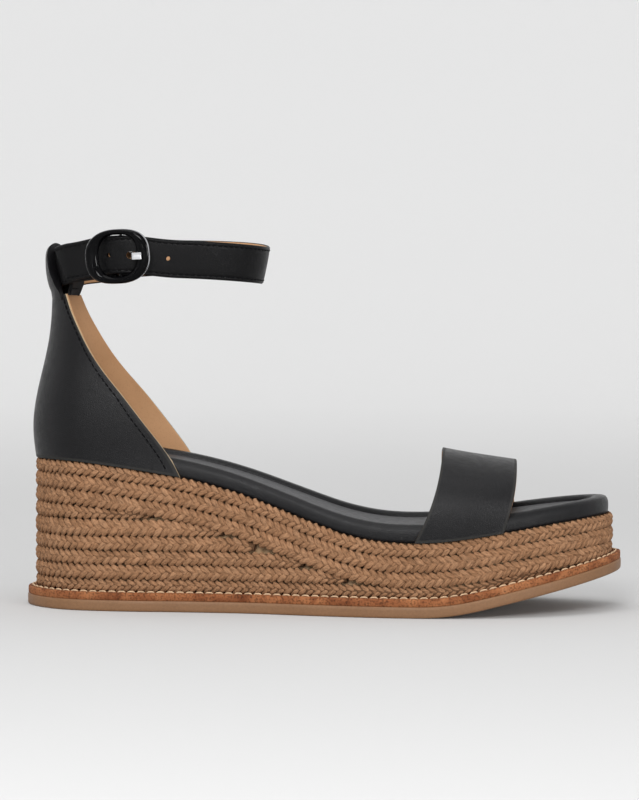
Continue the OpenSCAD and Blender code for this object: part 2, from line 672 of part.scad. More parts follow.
// Places a cylinder's axis out of the overlapping part of the strap, at a given x
tail_index = [for (i = [FIRST_OUTER:STRAP_N - 1]) [strap_path[i].x, i]];
module at_tail(x) {
    place = lookup(x, tail_index);
    i = floor(place);
    translate(lerp(strap_at(i, 0, 0), strap_at(i + 1, 0, 0), place - i))
        rotate([0, 0, atan2(outward(i).y, outward(i).x)]) rotate([0, 90 + flare(i), 0]) children();
}

PRONG_HOLE_X = 5.1;
PRONG_HOLE_L = 5.8;
FIRST_HOLE = -5.35;
// Holes counted from the one just behind the bar; the prong has the one that is left out
TAIL_HOLES = [-1, 0, 2, 3];
// The frame and the prong sit a little above the middle of the strap
FRAME_UP = 1.4;
module tail_holes() {
    for (k = TAIL_HOLES)
        at_tail(bar_point.x + FIRST_HOLE + k * hole_pitch)
            cylinder(d = hole_d, h = strap_t + 0.3, center = true);
    hole_w = prong_w + 0.6;
    slot = PRONG_HOLE_L - prong_w;
    at_bar() translate([PRONG_HOLE_X, 0, FRAME_UP]) rotate([90, 0, 0]) {
        for (side = [-1, 1])
            translate([side * slot / 2, 0, 0]) cylinder(d = hole_w, h = 9);
        translate([-slot / 2, -hole_w / 2, 0]) cube([slot, hole_w, 9]);
    }
}

module ankle_strap_outer() {
    color(BLACK) difference() {
        strap_layer(strap_t / 2 - strap_outer_t, strap_t / 2, strap_w / 2);
        tail_holes();
    }
}

module ankle_strap_lining() {
    color(TAN) difference() {
        strap_layer(-strap_t / 2, strap_lining_t - strap_t / 2, strap_w / 2 - 0.15);
        tail_holes();
    }
}

THREAD_INSET = 1.5;
module ankle_strap_thread() {
    color(BLACK) for (edge = [-1, 1]) {
        up = edge * (strap_w / 2 - THREAD_INSET);
        ring_solid([for (i = [0:STRAP_N - 1])
            [strap_at(i, up - 0.2, strap_t / 2 + 0.04), strap_at(i, up - 0.2, strap_t / 2 + 0.24),
             strap_at(i, up + 0.2, strap_t / 2 + 0.24), strap_at(i, up + 0.2, strap_t / 2 + 0.04)]]);
    }
}

// Leather folded round the bar, with a slot for the prong
PRONG_RING_T = 0.9;
prong_ring_r = loop_r + PRONG_RING_T;
module buckle_loop() {
    slot_h = prong_w + 0.9;
    slot_r = prong_ring_r + 0.35;
    flap_l = 5.5;
    flap_y = loop_out - 0.4;
    color(BLACK) at_bar() difference() {
        union() {
            cylinder(r = loop_out, h = strap_w, center = true);
            translate([-flap_l, flap_y, -strap_w / 2]) cube([flap_l, LOOP_T, strap_w]);
        }
        cylinder(r = loop_r, h = BIG, center = true);
        translate([0, 0, FRAME_UP]) cylinder(r = slot_r, h = slot_h, center = true);
        translate([-slot_r, -2 * slot_r, FRAME_UP - slot_h / 2]) cube([2 * slot_r, 2 * slot_r, slot_h]);
    }
}

// ---------- Buckle ----------
FRAME_T = 2.4;
BOW_W = 6;
RAIL_W = 2.4;
FRAME_POWER = 0.72;
frame_low = lift_at_bar + strap_t / 2 + 0.95;
CHEEK_T = 1.5;
CHEEK_W = 4.8;
CHEEK_LOW = 2;
// Inner face of the cheek on each side, measured from the middle of the strap
function cheek_face(side) = max(strap_w / 2 + 0.4, frame_w / 2 - RAIL_W + side * FRAME_UP);
// How far the bar reaches into each cheek
BAR_SEAT = 1.1;
bar_low = -cheek_face(-1) - BAR_SEAT;
bar_high = cheek_face(1) + BAR_SEAT;

function frame_outline(a, b) =
    [for (u = [0:6:359]) [a * signed_pow(cos(u), FRAME_POWER), b * signed_pow(sin(u), FRAME_POWER)]];
module frame_ring(low, high, shave) {
    translate([0, -low, FRAME_UP]) rotate([90, 0, 0]) linear_extrude(high - low) difference() {
        polygon(frame_outline(frame_l / 2 - shave, frame_w / 2 - shave));
        polygon(frame_outline(frame_l / 2 - BOW_W + shave, frame_w / 2 - RAIL_W + shave));
    }
}

module buckle_frame() {
    color(ENAMEL) at_bar() difference() {
        union() {
            frame_ring(frame_low, frame_low + FRAME_T / 2, 0);
            frame_ring(frame_low + FRAME_T / 2 - 0.01, frame_low + FRAME_T * 0.8, 0.5);
            frame_ring(frame_low + FRAME_T * 0.8 - 0.01, frame_low + FRAME_T, 1.1);
            for (side = [-1, 1])
                translate([0, -(frame_low + 0.6 - CHEEK_LOW) / 2, side * (cheek_face(side) + CHEEK_T / 2)])
                    cube([CHEEK_W, frame_low + 0.6 + CHEEK_LOW, CHEEK_T], center = true);
        }
        translate([0, 0, bar_low - 0.1]) cylinder(r = bar_r + 0.01, h = bar_high - bar_low + 0.2);
    }
}

module buckle_bar() {
    color(STEEL) at_bar() translate([0, 0, bar_low]) cylinder(r = bar_r, h = bar_high - bar_low);
}

// A ring that turns on the bar, and a flat tongue that rises through the tail and rests on the frame
PRONG_T = 1.1;
prong_rest = frame_low + FRAME_T + 0.3;
module prong() {
    // Middle line of the tongue: distance along the strap, and distance out of it
    line = [
        [0.4, 1.3], [3.2, 1.7], [5, 3], [6.4, 5.4], [7.5, prong_rest + 0.1], [8.6, prong_rest + 0.7],
        [11.6, prong_rest + 0.6]
    ];
    side = open_curve(line, 3);
    n = len(side);
    edge = [for (i = [0:n - 1])
        let (d = unit(side[min(i + 1, n - 1)] - side[max(i - 1, 0)])) [-d.y, d.x] * PRONG_T / 2];
    color(CHROME) at_bar() translate([0, 0, FRAME_UP]) difference() {
        union() {
            cylinder(r = prong_ring_r, h = prong_w, center = true);
            mirror([0, 1, 0]) linear_extrude(prong_w, center = true)
                polygon(concat([for (i = [0:n - 1]) side[i] + edge[i]],
                               [for (i = [n - 1:-1:0]) side[i] - edge[i]]));
        }
        cylinder(r = loop_r, h = BIG, center = true);
    }
}

outsole();
welt();
welt_stitches();
wedge_core();
shank();
shank_rivets();
jute_row_1();
jute_row_2();
jute_row_3();
jute_row_4();
jute_row_5();
jute_row_6();
jute_row_7();
jute_row_8();
jute_row_9();
insole_board();
footbed_foam();
footbed_cover();
sock_lining();
vamp_outer();
vamp_lining();
counter_outer();
counter_stiffener();
counter_lining();
counter_thread();
heel_tab();
heel_tab_patch();
heel_tab_thread();
ankle_strap_outer();
ankle_strap_lining();
ankle_strap_thread();
buckle_loop();
buckle_frame();
buckle_bar();
prong();
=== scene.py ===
"""Looks of the espadrille wedge sandal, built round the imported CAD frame."""

import json
import math

import bmesh
import bpy
import numpy as np
from mathutils import Matrix, Vector
from mathutils.bvhtree import BVHTree


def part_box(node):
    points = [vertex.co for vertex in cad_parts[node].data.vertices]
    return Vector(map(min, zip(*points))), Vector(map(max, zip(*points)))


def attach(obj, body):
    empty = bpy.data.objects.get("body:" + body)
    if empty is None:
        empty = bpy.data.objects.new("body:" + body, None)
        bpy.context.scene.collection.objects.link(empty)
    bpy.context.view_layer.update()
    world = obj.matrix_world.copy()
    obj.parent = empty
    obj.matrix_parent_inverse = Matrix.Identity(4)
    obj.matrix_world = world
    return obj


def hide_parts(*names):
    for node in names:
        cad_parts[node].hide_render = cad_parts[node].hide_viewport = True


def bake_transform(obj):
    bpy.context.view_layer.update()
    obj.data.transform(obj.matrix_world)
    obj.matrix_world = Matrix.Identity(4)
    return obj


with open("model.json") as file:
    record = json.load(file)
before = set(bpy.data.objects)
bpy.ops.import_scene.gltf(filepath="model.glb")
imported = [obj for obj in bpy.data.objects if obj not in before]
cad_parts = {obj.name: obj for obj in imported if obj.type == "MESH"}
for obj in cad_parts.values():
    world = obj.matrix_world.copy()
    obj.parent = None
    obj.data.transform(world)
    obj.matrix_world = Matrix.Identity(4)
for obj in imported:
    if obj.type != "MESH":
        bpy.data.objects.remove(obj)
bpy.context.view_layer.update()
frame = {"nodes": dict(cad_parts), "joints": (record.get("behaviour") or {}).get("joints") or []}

MM = 0.001
UP = np.array([0.0, 0.0, 1.0])
rng = np.random.default_rng(7)

# Sizes that repeat the design's own, in metres
ROPE_DEPTH = 5.3 * MM
FOOTBED_INSET = 5.5 * MM
RIM_MIDDLE = 3.5 * MM
STITCH_INSET = 2.2 * MM
STRAP_T = 2.0 * MM
THREAD_INSET = 1.5 * MM
HOLE_PITCH = 8.25 * MM
FIRST_HOLE = -5.35 * MM
DRAW_BACK = 1.3 * MM
DRAW_BACK_RUN = 20 * MM
PRONG_HOLE = (5.5 * MM, 1.4 * MM)
PRONG_SLOT = (1.55 * MM, 1.3 * MM)


# ---------- Camera, light and floor ----------
WORLD_LIGHT = 0.80
KEY_HEIGHT = 1.6
BACKDROP = 0.763
NEAR_LIGHT = 0.62


def make_camera():
    """A long lens a metre away, a little above the sandal and towards its toe."""
    azimuth, distance, height, aim = math.radians(4.5), 1.0, 0.1174, 0.0874
    side_step, roll = -1.5 * MM, math.radians(0.2)
    right = Vector((math.cos(azimuth), math.sin(azimuth), 0))
    back = Vector((math.sin(azimuth), -math.cos(azimuth), 0))
    data = bpy.data.cameras.new("camera")
    data.lens = 106
    data.clip_start, data.clip_end = 0.05, 60
    camera = bpy.data.objects.new("camera", data)
    bpy.context.scene.collection.objects.link(camera)
    camera.location = back * distance + right * side_step + Vector((0, 0, height))
    target = right * side_step + Vector((0, 0, aim))
    look = (target - camera.location).to_track_quat("-Z", "Y").to_matrix()
    camera.rotation_euler = (look @ Matrix.Rotation(roll, 3, "Z")).to_euler()
    bpy.context.scene.camera = camera


def make_light(name, location, target, size, power):
    data = bpy.data.lights.new(name, "AREA")
    data.shape = "RECTANGLE"
    data.size, data.size_y = size
    data.energy = power
    light = bpy.data.objects.new(name, data)
    light.location = location
    light.rotation_euler = (Vector(target) - Vector(location)).to_track_quat("-Z", "Y").to_euler()
    bpy.context.scene.collection.objects.link(light)


def make_studio():
    """Even light from all round, a soft key from above and a broad panel in front for the sheen."""
    world = bpy.data.worlds.new("studio")
    world.use_nodes = True
    background = world.node_tree.nodes["Background"]
    background.inputs["Color"].default_value = (1, 1, 1, 1)
    background.inputs["Strength"].default_value = WORLD_LIGHT
    bpy.context.scene.world = world
    middle = (0, 0, 0.08)
    make_light("key", (-0.2, -0.3, KEY_HEIGHT), middle, (0.9, 0.9), 7.0)
    make_light("panel", (-0.15, -1.25, 0.62), middle, (0.45, 0.35), 9.0)
    make_light("side", (0.95, -0.95, 0.22), (-0.04, 0, 0.14), (0.14, 0.4), 5.0)
    make_light("sparkle", (-0.25, -1.3, 1.1), middle, (0.10, 0.10), 1.5)
    make_light("low", (-0.30, -1.5, 0.03), middle, (0.05, 0.05), 0.4)
    bpy.context.scene.view_settings.view_transform = "Standard"


def make_floor():
    """A round floor whose edge curves up into a low wall, far behind the sandal."""
    flat, bend, top, sides = 2.6, 1.5, 1.9, 96
    profile = [(0.0, 0.0)] + [(flat * k / 6, 0.0) for k in range(1, 7)]
    for k in range(1, 9):
        a = math.radians(90 * k / 8)
        profile.append((flat + bend * math.sin(a), bend * (1 - math.cos(a))))
    profile.append((flat + bend, top))
    bm = bmesh.new()
    rings = [[bm.verts.new((r * math.cos(a), r * math.sin(a), z))
              for a in np.linspace(0, 2 * math.pi, sides, endpoint=False)] for r, z in profile[1:]]
    centre = bm.verts.new((0, 0, 0))
    for k in range(sides):
        bm.faces.new((centre, rings[0][k], rings[0][(k + 1) % sides]))
        for low, high in zip(rings, rings[1:]):
            bm.faces.new((low[k], high[k], high[(k + 1) % sides], low[(k + 1) % sides]))
    floor = object_from(bm, "floor", floor_material())


# ---------- Meshes ----------
def object_from(bm, name, *materials):
    mesh = bpy.data.meshes.new(name)
    bmesh.ops.recalc_face_normals(bm, faces=bm.faces)
    bm.to_mesh(mesh)
    bm.free()
    return object_with(mesh, name, *materials)


def object_with(mesh, name, *materials):
    mesh.polygons.foreach_set("use_smooth", [True] * len(mesh.polygons))
    for material in materials:
        mesh.materials.append(material)
    piece = bpy.data.objects.new(name, mesh)
    bpy.context.scene.collection.objects.link(piece)
    return piece


def object_of(points, faces, name, *materials):
    mesh = bpy.data.meshes.new(name)
    mesh.from_pydata(np.asarray(points).tolist(), [], faces)
    return object_with(mesh, name, *materials)


def round_edges(piece, width, segments, angle):
    """Rounds the edges that are sharper than angle, in degrees."""
    edge = piece.modifiers.new("edge", "BEVEL")
    edge.width, edge.segments = width, segments
    edge.limit_method, edge.angle_limit = "ANGLE", math.radians(angle)
    return edge


def turn_outward(mesh):
    bm = bmesh.new()
    bm.from_mesh(mesh)
    bmesh.ops.recalc_face_normals(bm, faces=bm.faces)
    bm.to_mesh(mesh)
    bm.free()


def subdivide(piece, levels):
    modifier = piece.modifiers.new("smooth", "SUBSURF")
    modifier.levels = modifier.render_levels = levels


def place(piece, body, slot, *nodes):
    """Hides the CAD nodes that a piece stands for, if any, and puts the piece on the body it rides on. The
    slot argument is not used.
    """
    if nodes:
        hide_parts(*nodes)
    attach(piece, body)


def tube_faces(rings, sides, closed=False):
    """Faces of a tube whose points run ring by ring."""
    faces = []
    for j in range(rings if closed else rings - 1):
        a, b = j * sides, ((j + 1) % rings) * sides
        faces += [(a + k, b + k, b + (k + 1) % sides, a + (k + 1) % sides) for k in range(sides)]
    if not closed:
        faces.append(tuple(range(sides - 1, -1, -1)))
        faces.append(tuple((rings - 1) * sides + k for k in range(sides)))
    return faces


def unit(v):
    return v / np.maximum(np.linalg.norm(v, axis=-1, keepdims=True), 1e-12)


def run_of(points):
    """Distance along a line at each of its points."""
    return np.concatenate([[0], np.cumsum(np.linalg.norm(np.diff(points, axis=0), axis=1))])


def sample(s, run, values):
    """Numbers or points along a line, at distances s."""
    columns = values.reshape(len(run), -1).T
    picked = np.stack([np.interp(s.ravel(), run, column) for column in columns], -1)
    return picked.reshape(s.shape + values.shape[1:])


def between(a, b, c, d, steps):
    """Points of the smooth curve from each b to its c, where a and d are the neighbours."""
    out = []
    for t in np.arange(steps) / steps:
        out.append(0.5 * (2 * b + (c - a) * t + (2 * a - 5 * b + 4 * c - d) * t ** 2
                          + (3 * b - a - 3 * c + d) * t ** 3))
    return np.stack(out, 1).reshape(-1, b.shape[1])


def smooth_closed(points, steps):
    """A closed smooth curve through the points, with steps to each of them."""
    p = np.asarray(points, float)
    a, b, c, d = np.roll(p, 1, 0), p, np.roll(p, -1, 0), np.roll(p, -2, 0)
    return between(a, b, c, d, steps)


def smooth_open(points, steps):
    """A smooth curve through the points, with its two ends kept."""
    p = np.asarray(points, float)
    a = np.vstack([2 * p[:1] - p[1:2], p[:-2]])
    b, c = p[:-1], p[1:]
    d = np.vstack([p[2:], 2 * p[-1:] - p[-2:-1]])
    return np.vstack([between(a, b, c, d, steps), p[-1:]])


# ---------- What the frame says ----------
def node_points(node):
    mesh = frame["nodes"][node].data
    co = np.zeros(len(mesh.vertices) * 3)
    mesh.vertices.foreach_get("co", co)
    return co.reshape(-1, 3)


def node_tree(node):
    mesh = frame["nodes"][node].data
    return BVHTree.FromPolygons([v.co for v in mesh.vertices], [p.vertices for p in mesh.polygons])


def span_at(tree, x, y):
    """Lowest and highest point of a node on the upright line through x and y, or None."""
    low = tree.ray_cast((x, y, -0.05), (0, 0, 1))[0]
    high = tree.ray_cast((x, y, 0.3), (0, 0, -1))[0]
    return None if low is None else (low.z, high.z)


def outline_of(node):
    """Corners of a flat node's outline, from the toe along the buckle side and back."""
    p = np.unique(np.round(node_points(node)[:, :2], 7), axis=0)
    p = p[np.argsort(-np.arctan2(p[:, 1], p[:, 0]))]
    near = np.linalg.norm(p - np.roll(p, 1, 0), axis=1) < 0.02 * MM
    p = p[~near]
    before, after = unit(p - np.roll(p, 1, 0)), unit(np.roll(p, -1, 0) - p)
    turn = np.abs(before[:, 0] * after[:, 1] - before[:, 1] * after[:, 0])
    p = p[turn > 5e-4]
    return np.roll(p, -int(np.argmax(p[:, 0])), 0)


class Sole:
    """The plan of the sole and the heights of its layers, as smooth functions."""

    def __init__(self):
        plan = smooth_closed(outline_of("outsole"), 4)
        self.count = 400
        closed = np.vstack([plan, plan[:1]])
        run = run_of(closed)
        self.plan = sample(np.linspace(0, run[-1], self.count, endpoint=False), run, closed)
        d = unit(np.roll(self.plan, -1, 0) - np.roll(self.plan, 1, 0))
        self.inward = np.stack([d[:, 1], -d[:, 0]], 1)
        self.floor = self.profile("outsole", 0)
        self.welt_low = self.profile("welt", 0)
        self.welt_top = self.profile("welt", 1)
        self.top = self.profile("insole_board", 0)

    def profile(self, node, which):
        """Height of a node's underside (0) or top (1) as a smooth function of x."""
        tree = node_tree(node)
        low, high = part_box(node)
        xs = np.linspace(low.x + 3 * MM, high.x - 3 * MM, 120)
        spans = [span_at(tree, x, self.middle(x)) for x in xs]
        found = [k for k, span in enumerate(spans) if span]
        z = np.interp(xs, xs[found], [spans[k][which] for k in found])
        kernel = np.exp(-0.5 * (np.arange(-5, 6) / 1.8) ** 2)
        line = np.polyfit(xs[-6:], z[-6:], 1)
        heel = np.polyfit(xs[:6], z[:6], 1)
        gap = xs[1] - xs[0]
        before = xs[0] - gap * np.arange(8, 0, -1)
        after = xs[-1] + gap * np.arange(1, 9)
        xs = np.concatenate([before, xs, after])
        z = np.concatenate([np.polyval(heel, before), z, np.polyval(line, after)])
        smooth = np.convolve(z, kernel / kernel.sum(), "same")
        smooth[:6], smooth[-6:] = z[:6], z[-6:]
        return lambda x: np.interp(x, xs, smooth)

    def middle(self, x):
        half = len(self.plan) // 2
        near, far = self.plan[:half], self.plan[half:]
        return (np.interp(-x, -near[:, 0], near[:, 1]) + np.interp(x, far[:, 0], far[:, 1])) / 2

    def inset(self, distance):
        return self.plan + distance * self.inward


sole = Sole()


def tidy_inset(distance):
    """The plan moved inward, with its corners kept apart."""
    p = sole.inset(distance)
    for _ in range(int(distance / MM)):
        p = 0.25 * np.roll(p, 1, 0) + 0.5 * p + 0.25 * np.roll(p, -1, 0)
    return p


def layer(name, section, low, high, material, crown=None):
    """A slab of the sole. section lists (inset, share of thickness, lift) from its underside's rim to its
    top's rim; low and high give its two heights at x; crown lifts its top by the share of the way across."""
    n, cells = sole.count, 10
    points, rings = [], []
    for inset, share, lift in section:
        p = tidy_inset(inset)
        z = low(p[:, 0]) * (1 - share) + high(p[:, 0]) * share + lift
        rings.append(len(points))
        points += np.column_stack([p, z]).tolist()
    faces = []
    for a, b in zip(rings, rings[1:]):
        faces += [(a + k, a + (k + 1) % n, b + (k + 1) % n, b + k) for k in range(n)]
    for ring, upper in ((rings[0], False), (rings[-1], True)):
        rim = np.array(points[ring:ring + n])
        grid = {}
        half = n // 2
        for i in range(1, half):
            a, b = rim[i], rim[n - i]
            for j in range(1, cells):
                t = j / cells
                q = a * (1 - t) + b * t
                height = (high if upper else low)(q[0]) + (section[-1][2] if upper else 0)
                q[2] = height + (crown(4 * t * (1 - t)) if upper and crown else 0)
                grid[i, j] = len(points)
                points.append(q.tolist())
            grid[i, 0], grid[i, cells] = ring + i, ring + n - i
        for i in range(1, half - 1):
            for j in range(cells):
                quad = (grid[i, j], grid[i + 1, j], grid[i + 1, j + 1], grid[i, j + 1])
                faces.append(quad if upper else quad[::-1])
        for i, tip in ((1, ring), (half - 1, ring + half)):
            for j in range(cells):
                tri = (tip, grid[i, j], grid[i, j + 1])
                faces.append(tri if upper == (i == 1) else tri[::-1])
    return object_of(points, faces, name, material)


# ---------- Materials ----------
class Look:
    """A material's node tree, with short calls for the nodes used here."""

    def __init__(self, name, colour, roughness, specular=0.5, metallic=0.0):
        self.material = bpy.data.materials.new(name)
        self.material.use_nodes = True
        self.nodes = self.material.node_tree.nodes
        self.links = self.material.node_tree.links
        self.shader = self.nodes["Principled BSDF"]
        self.set(self.shader, "Base Color", (*colour, 1))
        self.set(self.shader, "Roughness", roughness)
        self.set(self.shader, "Specular IOR Level", specular)
        self.set(self.shader, "Metallic", metallic)
        self.where = self.add("ShaderNodeTexCoord").outputs["Object"]
        self.normal = None

    def add(self, kind, **settings):
        node = self.nodes.new(kind)
        for key, value in settings.items():
            setattr(node, key, value)
        return node

    def set(self, node, socket, value):
        if isinstance(value, bpy.types.NodeSocket):
            self.links.new(value, node.inputs[socket])
        else:
            node.inputs[socket].default_value = value

    def noise(self, size, detail=3, stretch=None, where=None, distortion=0.0):
        """Noise whose features are about size metres across."""
        node = self.add("ShaderNodeTexNoise")
        self.set(node, "Scale", 1 / size)
        self.set(node, "Detail", detail)
        self.set(node, "Distortion", distortion)
        self.set(node, "Vector", self.stretched(stretch, where))
        return node.outputs["Fac"]

    def stretched(self, stretch, where=None):
        where = where or self.where
        if stretch is None:
            return where
        node = self.add("ShaderNodeMapping")
        self.set(node, "Vector", where)
        self.set(node, "Scale", stretch)
        return node.outputs["Vector"]

    def cells(self, size, feature="F1"):
        node = self.add("ShaderNodeTexVoronoi", feature=feature)
        self.set(node, "Scale", 1 / size)
        self.set(node, "Vector", self.where)
        return node.outputs["Distance"]

    def math(self, operation, a, b=0.0, c=0.0):
        node = self.add("ShaderNodeMath", operation=operation)
        for k, value in enumerate((a, b, c)):
            self.set(node, k, value)
        return node.outputs[0]

    def ramp(self, fac, *stops):
        """Colours (or greys) at places along fac."""
        node = self.add("ShaderNodeValToRGB")
        self.set(node, "Fac", fac)
        elements = node.color_ramp.elements
        while len(elements) < len(stops):
            elements.new(0.5)
        for element, (position, colour) in zip(elements, stops):
            element.position = position
            element.color = (colour,) * 3 + (1,) if isinstance(colour, float) else (*colour, 1)
        return node.outputs["Color"]

    def mix(self, fac, a, b, blend="MIX"):
        node = self.add("ShaderNodeMix", data_type="RGBA", blend_type=blend)
        self.set(node, 0, fac)
        for k, value in ((6, a), (7, b)):
            self.set(node, k, (*value, 1) if isinstance(value, tuple) and len(value) == 3 else value)
        return node.outputs[2]

    def bump(self, height, depth, strength=1.0):
        """Relief, depth metres deep."""
        node = self.add("ShaderNodeBump")
        self.set(node, "Height", height)
        self.set(node, "Distance", depth)
        self.set(node, "Strength", strength)
        if self.normal:
            self.set(node, "Normal", self.normal)
        self.normal = node.outputs["Normal"]
        self.set(self.shader, "Normal", self.normal)

    def colour(self, value, *tints):
        """Sets the colour, multiplied by each tint in turn."""
        for tint in tints:
            value = self.mix(1.0, value, tint, "MULTIPLY")
        self.set(self.shader, "Base Color", value)

    def roughness(self, value):
        self.set(self.shader, "Roughness", value)


def floor_material():
    """Pale paper, a little greyer under the lamps, so that it looks even all the way back."""
    look = Look("studio_floor", (0.9, 0.9, 0.9), 0.9, specular=0.0)
    radius = look.add("ShaderNodeVectorMath", operation="LENGTH")
    look.set(radius, 0, look.where)
    spread = look.math("MULTIPLY", radius.outputs["Value"], 1 / KEY_HEIGHT)
    spread = look.math("MULTIPLY_ADD", spread, spread, 1.0)
    lamps = look.math("DIVIDE", NEAR_LIGHT, look.math("MULTIPLY", spread, spread))
    shade = look.math("DIVIDE", BACKDROP, look.math("ADD", lamps, WORLD_LIGHT))
    grain = look.math("MULTIPLY", look.noise(0.4), 0.004)
    shade = look.math("ADD", shade, grain)
    tone = look.add("ShaderNodeCombineColor")
    for channel in range(3):
        look.set(tone, channel, shade)
    look.colour(tone.outputs[0])
    return look.material


def leather_material(name, dark, light, roughness, grain=0.7 * MM, depth=0.07 * MM, gloss=0.3):
    """Fine grained leather: rounded cells with creases between them, pores and slow changes of tone."""
    look = Look(name, dark, roughness, specular=gloss)
    slow = look.noise(14 * MM, 3)
    look.colour(look.mix(slow, dark, light))
    creases = look.cells(grain, "DISTANCE_TO_EDGE")
    fine = look.noise(0.22 * MM, 2)
    wrinkles = look.noise(5 * MM, 4, distortion=1.2)
    look.bump(look.math("MINIMUM", look.math("MULTIPLY", creases, 3.0), 0.6), depth, 0.9)
    look.bump(fine, depth * 0.5, 0.5)
    look.bump(wrinkles, 0.12 * MM, 0.5)
    look.roughness(look.ramp(look.noise(3 * MM, 3), (0.3, roughness - 0.05), (0.7, roughness + 0.07)))
    return look.material


def lining_material(name, dark, light):
    """Undyed lining leather: matt, with soft clouds, faint fibres and small pores."""
    look = Look(name, dark, 0.62, specular=0.25)
    clouds = look.noise(11 * MM, 5, distortion=0.6)
    specks = look.cells(0.9 * MM)
    tone = look.mix(clouds, dark, light)
    pores = look.ramp(specks, (0.05, 0.86), (0.35, 1.0))
    look.colour(tone, pores)
    look.bump(specks, 0.04 * MM, 0.6)
    look.bump(look.noise(0.3 * MM, 3), 0.04 * MM, 0.6)
    return look.material


def jute_material(name, shade):
    """Twisted jute yarn. The attribute yarn holds the place along a strand, round it, and its own tone."""
    look = Look(name, (0.3, 0.2, 0.1), 0.85, specular=0.12)
    yarn = look.add("ShaderNodeAttribute", attribute_name="yarn")
    split = look.add("ShaderNodeSeparateXYZ")
    look.set(split, "Vector", yarn.outputs["Vector"])
    along, around, tone = (split.outputs[k] for k in range(3))
    fibres = look.noise(1.0, 4, stretch=(1.1, 16.0, 40.0), where=yarn.outputs["Vector"])
    blotches = look.noise(6 * MM, 3)
    tones = ((0.24104, 0.12512, 0.0644), (0.280, 0.148, 0.078), (0.305, 0.166, 0.090))
    # shade scales the yarn's colour; values below 1 are painted shade, as on the rope's core.
    base = look.ramp(tone, *((k / 2, tuple(c * shade for c in colour)) for k, colour in enumerate(tones)))
    streaks = look.ramp(fibres, (0.30, 0.55), (0.5, 1.0), (0.72, 1.30))
    look.colour(base, streaks, look.ramp(blotches, (0.3, 0.88), (0.7, 1.06)))
    turns = look.math("MULTIPLY_ADD", around, 3.0, look.math("MULTIPLY", along, 0.42))
    plies = look.math("SINE", look.math("MULTIPLY", turns, 2 * math.pi))
    look.bump(plies, 0.16 * MM, 0.9)
    look.bump(fibres, 0.30 * MM, 1.0)
    look.bump(look.noise(0.25 * MM, 2), 0.08 * MM, 0.7)
    return look.material


def welt_material():
    """Rough split leather, burnt orange, mottled, with dark specks."""
    look = Look("welt_leather", (0.5, 0.2, 0.07), 0.8, specular=0.15)
    patches = look.noise(9 * MM, 4, distortion=0.8)
    tone = look.ramp(patches, (0.30, (0.125, 0.037, 0.013)), (0.47, (0.21, 0.073, 0.028)),
                     (0.62, (0.28, 0.108, 0.043)), (0.8, (0.34, 0.150, 0.066)))
    specks = look.noise(0.8 * MM, 3)
    dark = look.ramp(specks, (0.36, 0.45), (0.5, 1.0), (0.7, 1.12))
    look.colour(tone, dark)
    look.bump(specks, 0.16 * MM, 0.9)
    look.bump(look.noise(0.35 * MM, 3), 0.10 * MM, 0.8)
    return look.material


def rubber_material():
    """Moulded tan rubber with fine dust."""
    look = Look("outsole_rubber", (0.42, 0.27, 0.15), 0.55, specular=0.3)
    tone = look.mix(look.noise(25 * MM, 3), (0.165, 0.082, 0.038), (0.220, 0.115, 0.055))
    dust = look.ramp(look.noise(0.9 * MM, 4), (0.35, 0.90), (0.65, 1.04))
    look.colour(tone, dust)
    look.bump(look.noise(0.5 * MM, 3), 0.03 * MM, 0.6)
    look.roughness(look.ramp(look.noise(8 * MM, 2), (0.3, 0.48), (0.7, 0.62)))
    return look.material


def thread_material(name, colour, shine=0.2):
    look = Look(name, colour, 0.6, specular=shine)
    tone = look.ramp(look.noise(1.5 * MM, 3), (0.3, 0.8), (0.7, 1.1))
    look.colour(colour, tone)
    look.bump(look.cells(0.25 * MM), 0.08 * MM, 0.8)
    return look.material


def cork_material():
    look = Look("wedge_cork", (0.10, 0.055, 0.028), 0.9, specular=0.1)
    grains = look.cells(3 * MM)
    look.colour(look.ramp(grains, (0.1, (0.18, 0.10, 0.05)), (0.4, (0.42, 0.27, 0.15)),
                          (0.8, (0.5, 0.33, 0.2))))
    look.bump(grains, 0.3 * MM, 0.7)
    return look.material


def board_material():
    look = Look("insole_fibreboard", (0.45, 0.35, 0.22), 0.9, specular=0.1)
    fibres = look.noise(0.6 * MM, 4, stretch=(0.4, 1.0, 1.0))
    look.colour(look.mix(fibres, (0.34, 0.26, 0.16), (0.50, 0.40, 0.27)))
    look.bump(fibres, 0.05 * MM, 0.7)
    return look.material


def foam_material():
    look = Look("footbed_foam", (0.7, 0.64, 0.42), 0.95, specular=0.1)
    bubbles = look.cells(0.8 * MM)
    look.colour(look.mix(bubbles, (0.55, 0.50, 0.32), (0.74, 0.68, 0.46)))
    look.bump(bubbles, 0.15 * MM, 0.8)
    return look.material


def steel_material():
    look = Look("shank_steel", (0.56, 0.57, 0.58), 0.34, metallic=1.0)
    brushed = look.noise(0.4 * MM, 3, stretch=(0.05, 1.0, 1.0))
    look.roughness(look.ramp(brushed, (0.3, 0.26), (0.7, 0.44)))
    look.bump(brushed, 0.01 * MM, 0.5)
    return look.material


def chrome_material():
    look = Look("prong_chrome", (0.82, 0.82, 0.84), 0.09, metallic=1.0)
    scuffs = look.noise(0.5 * MM, 4, stretch=(0.2, 1.0, 1.0))
    look.roughness(look.ramp(scuffs, (0.35, 0.06), (0.75, 0.20)))
    look.bump(scuffs, 0.004 * MM, 0.4)
    return look.material


def enamel_material():
    look = Look("black_enamel", (0.0010, 0.0010, 0.0014), 0.08, specular=0.09)
    flow = look.noise(4 * MM, 2)
    look.bump(flow, 0.05 * MM, 0.4)
    look.roughness(look.ramp(flow, (0.3, 0.05), (0.7, 0.10)))
    return look.material


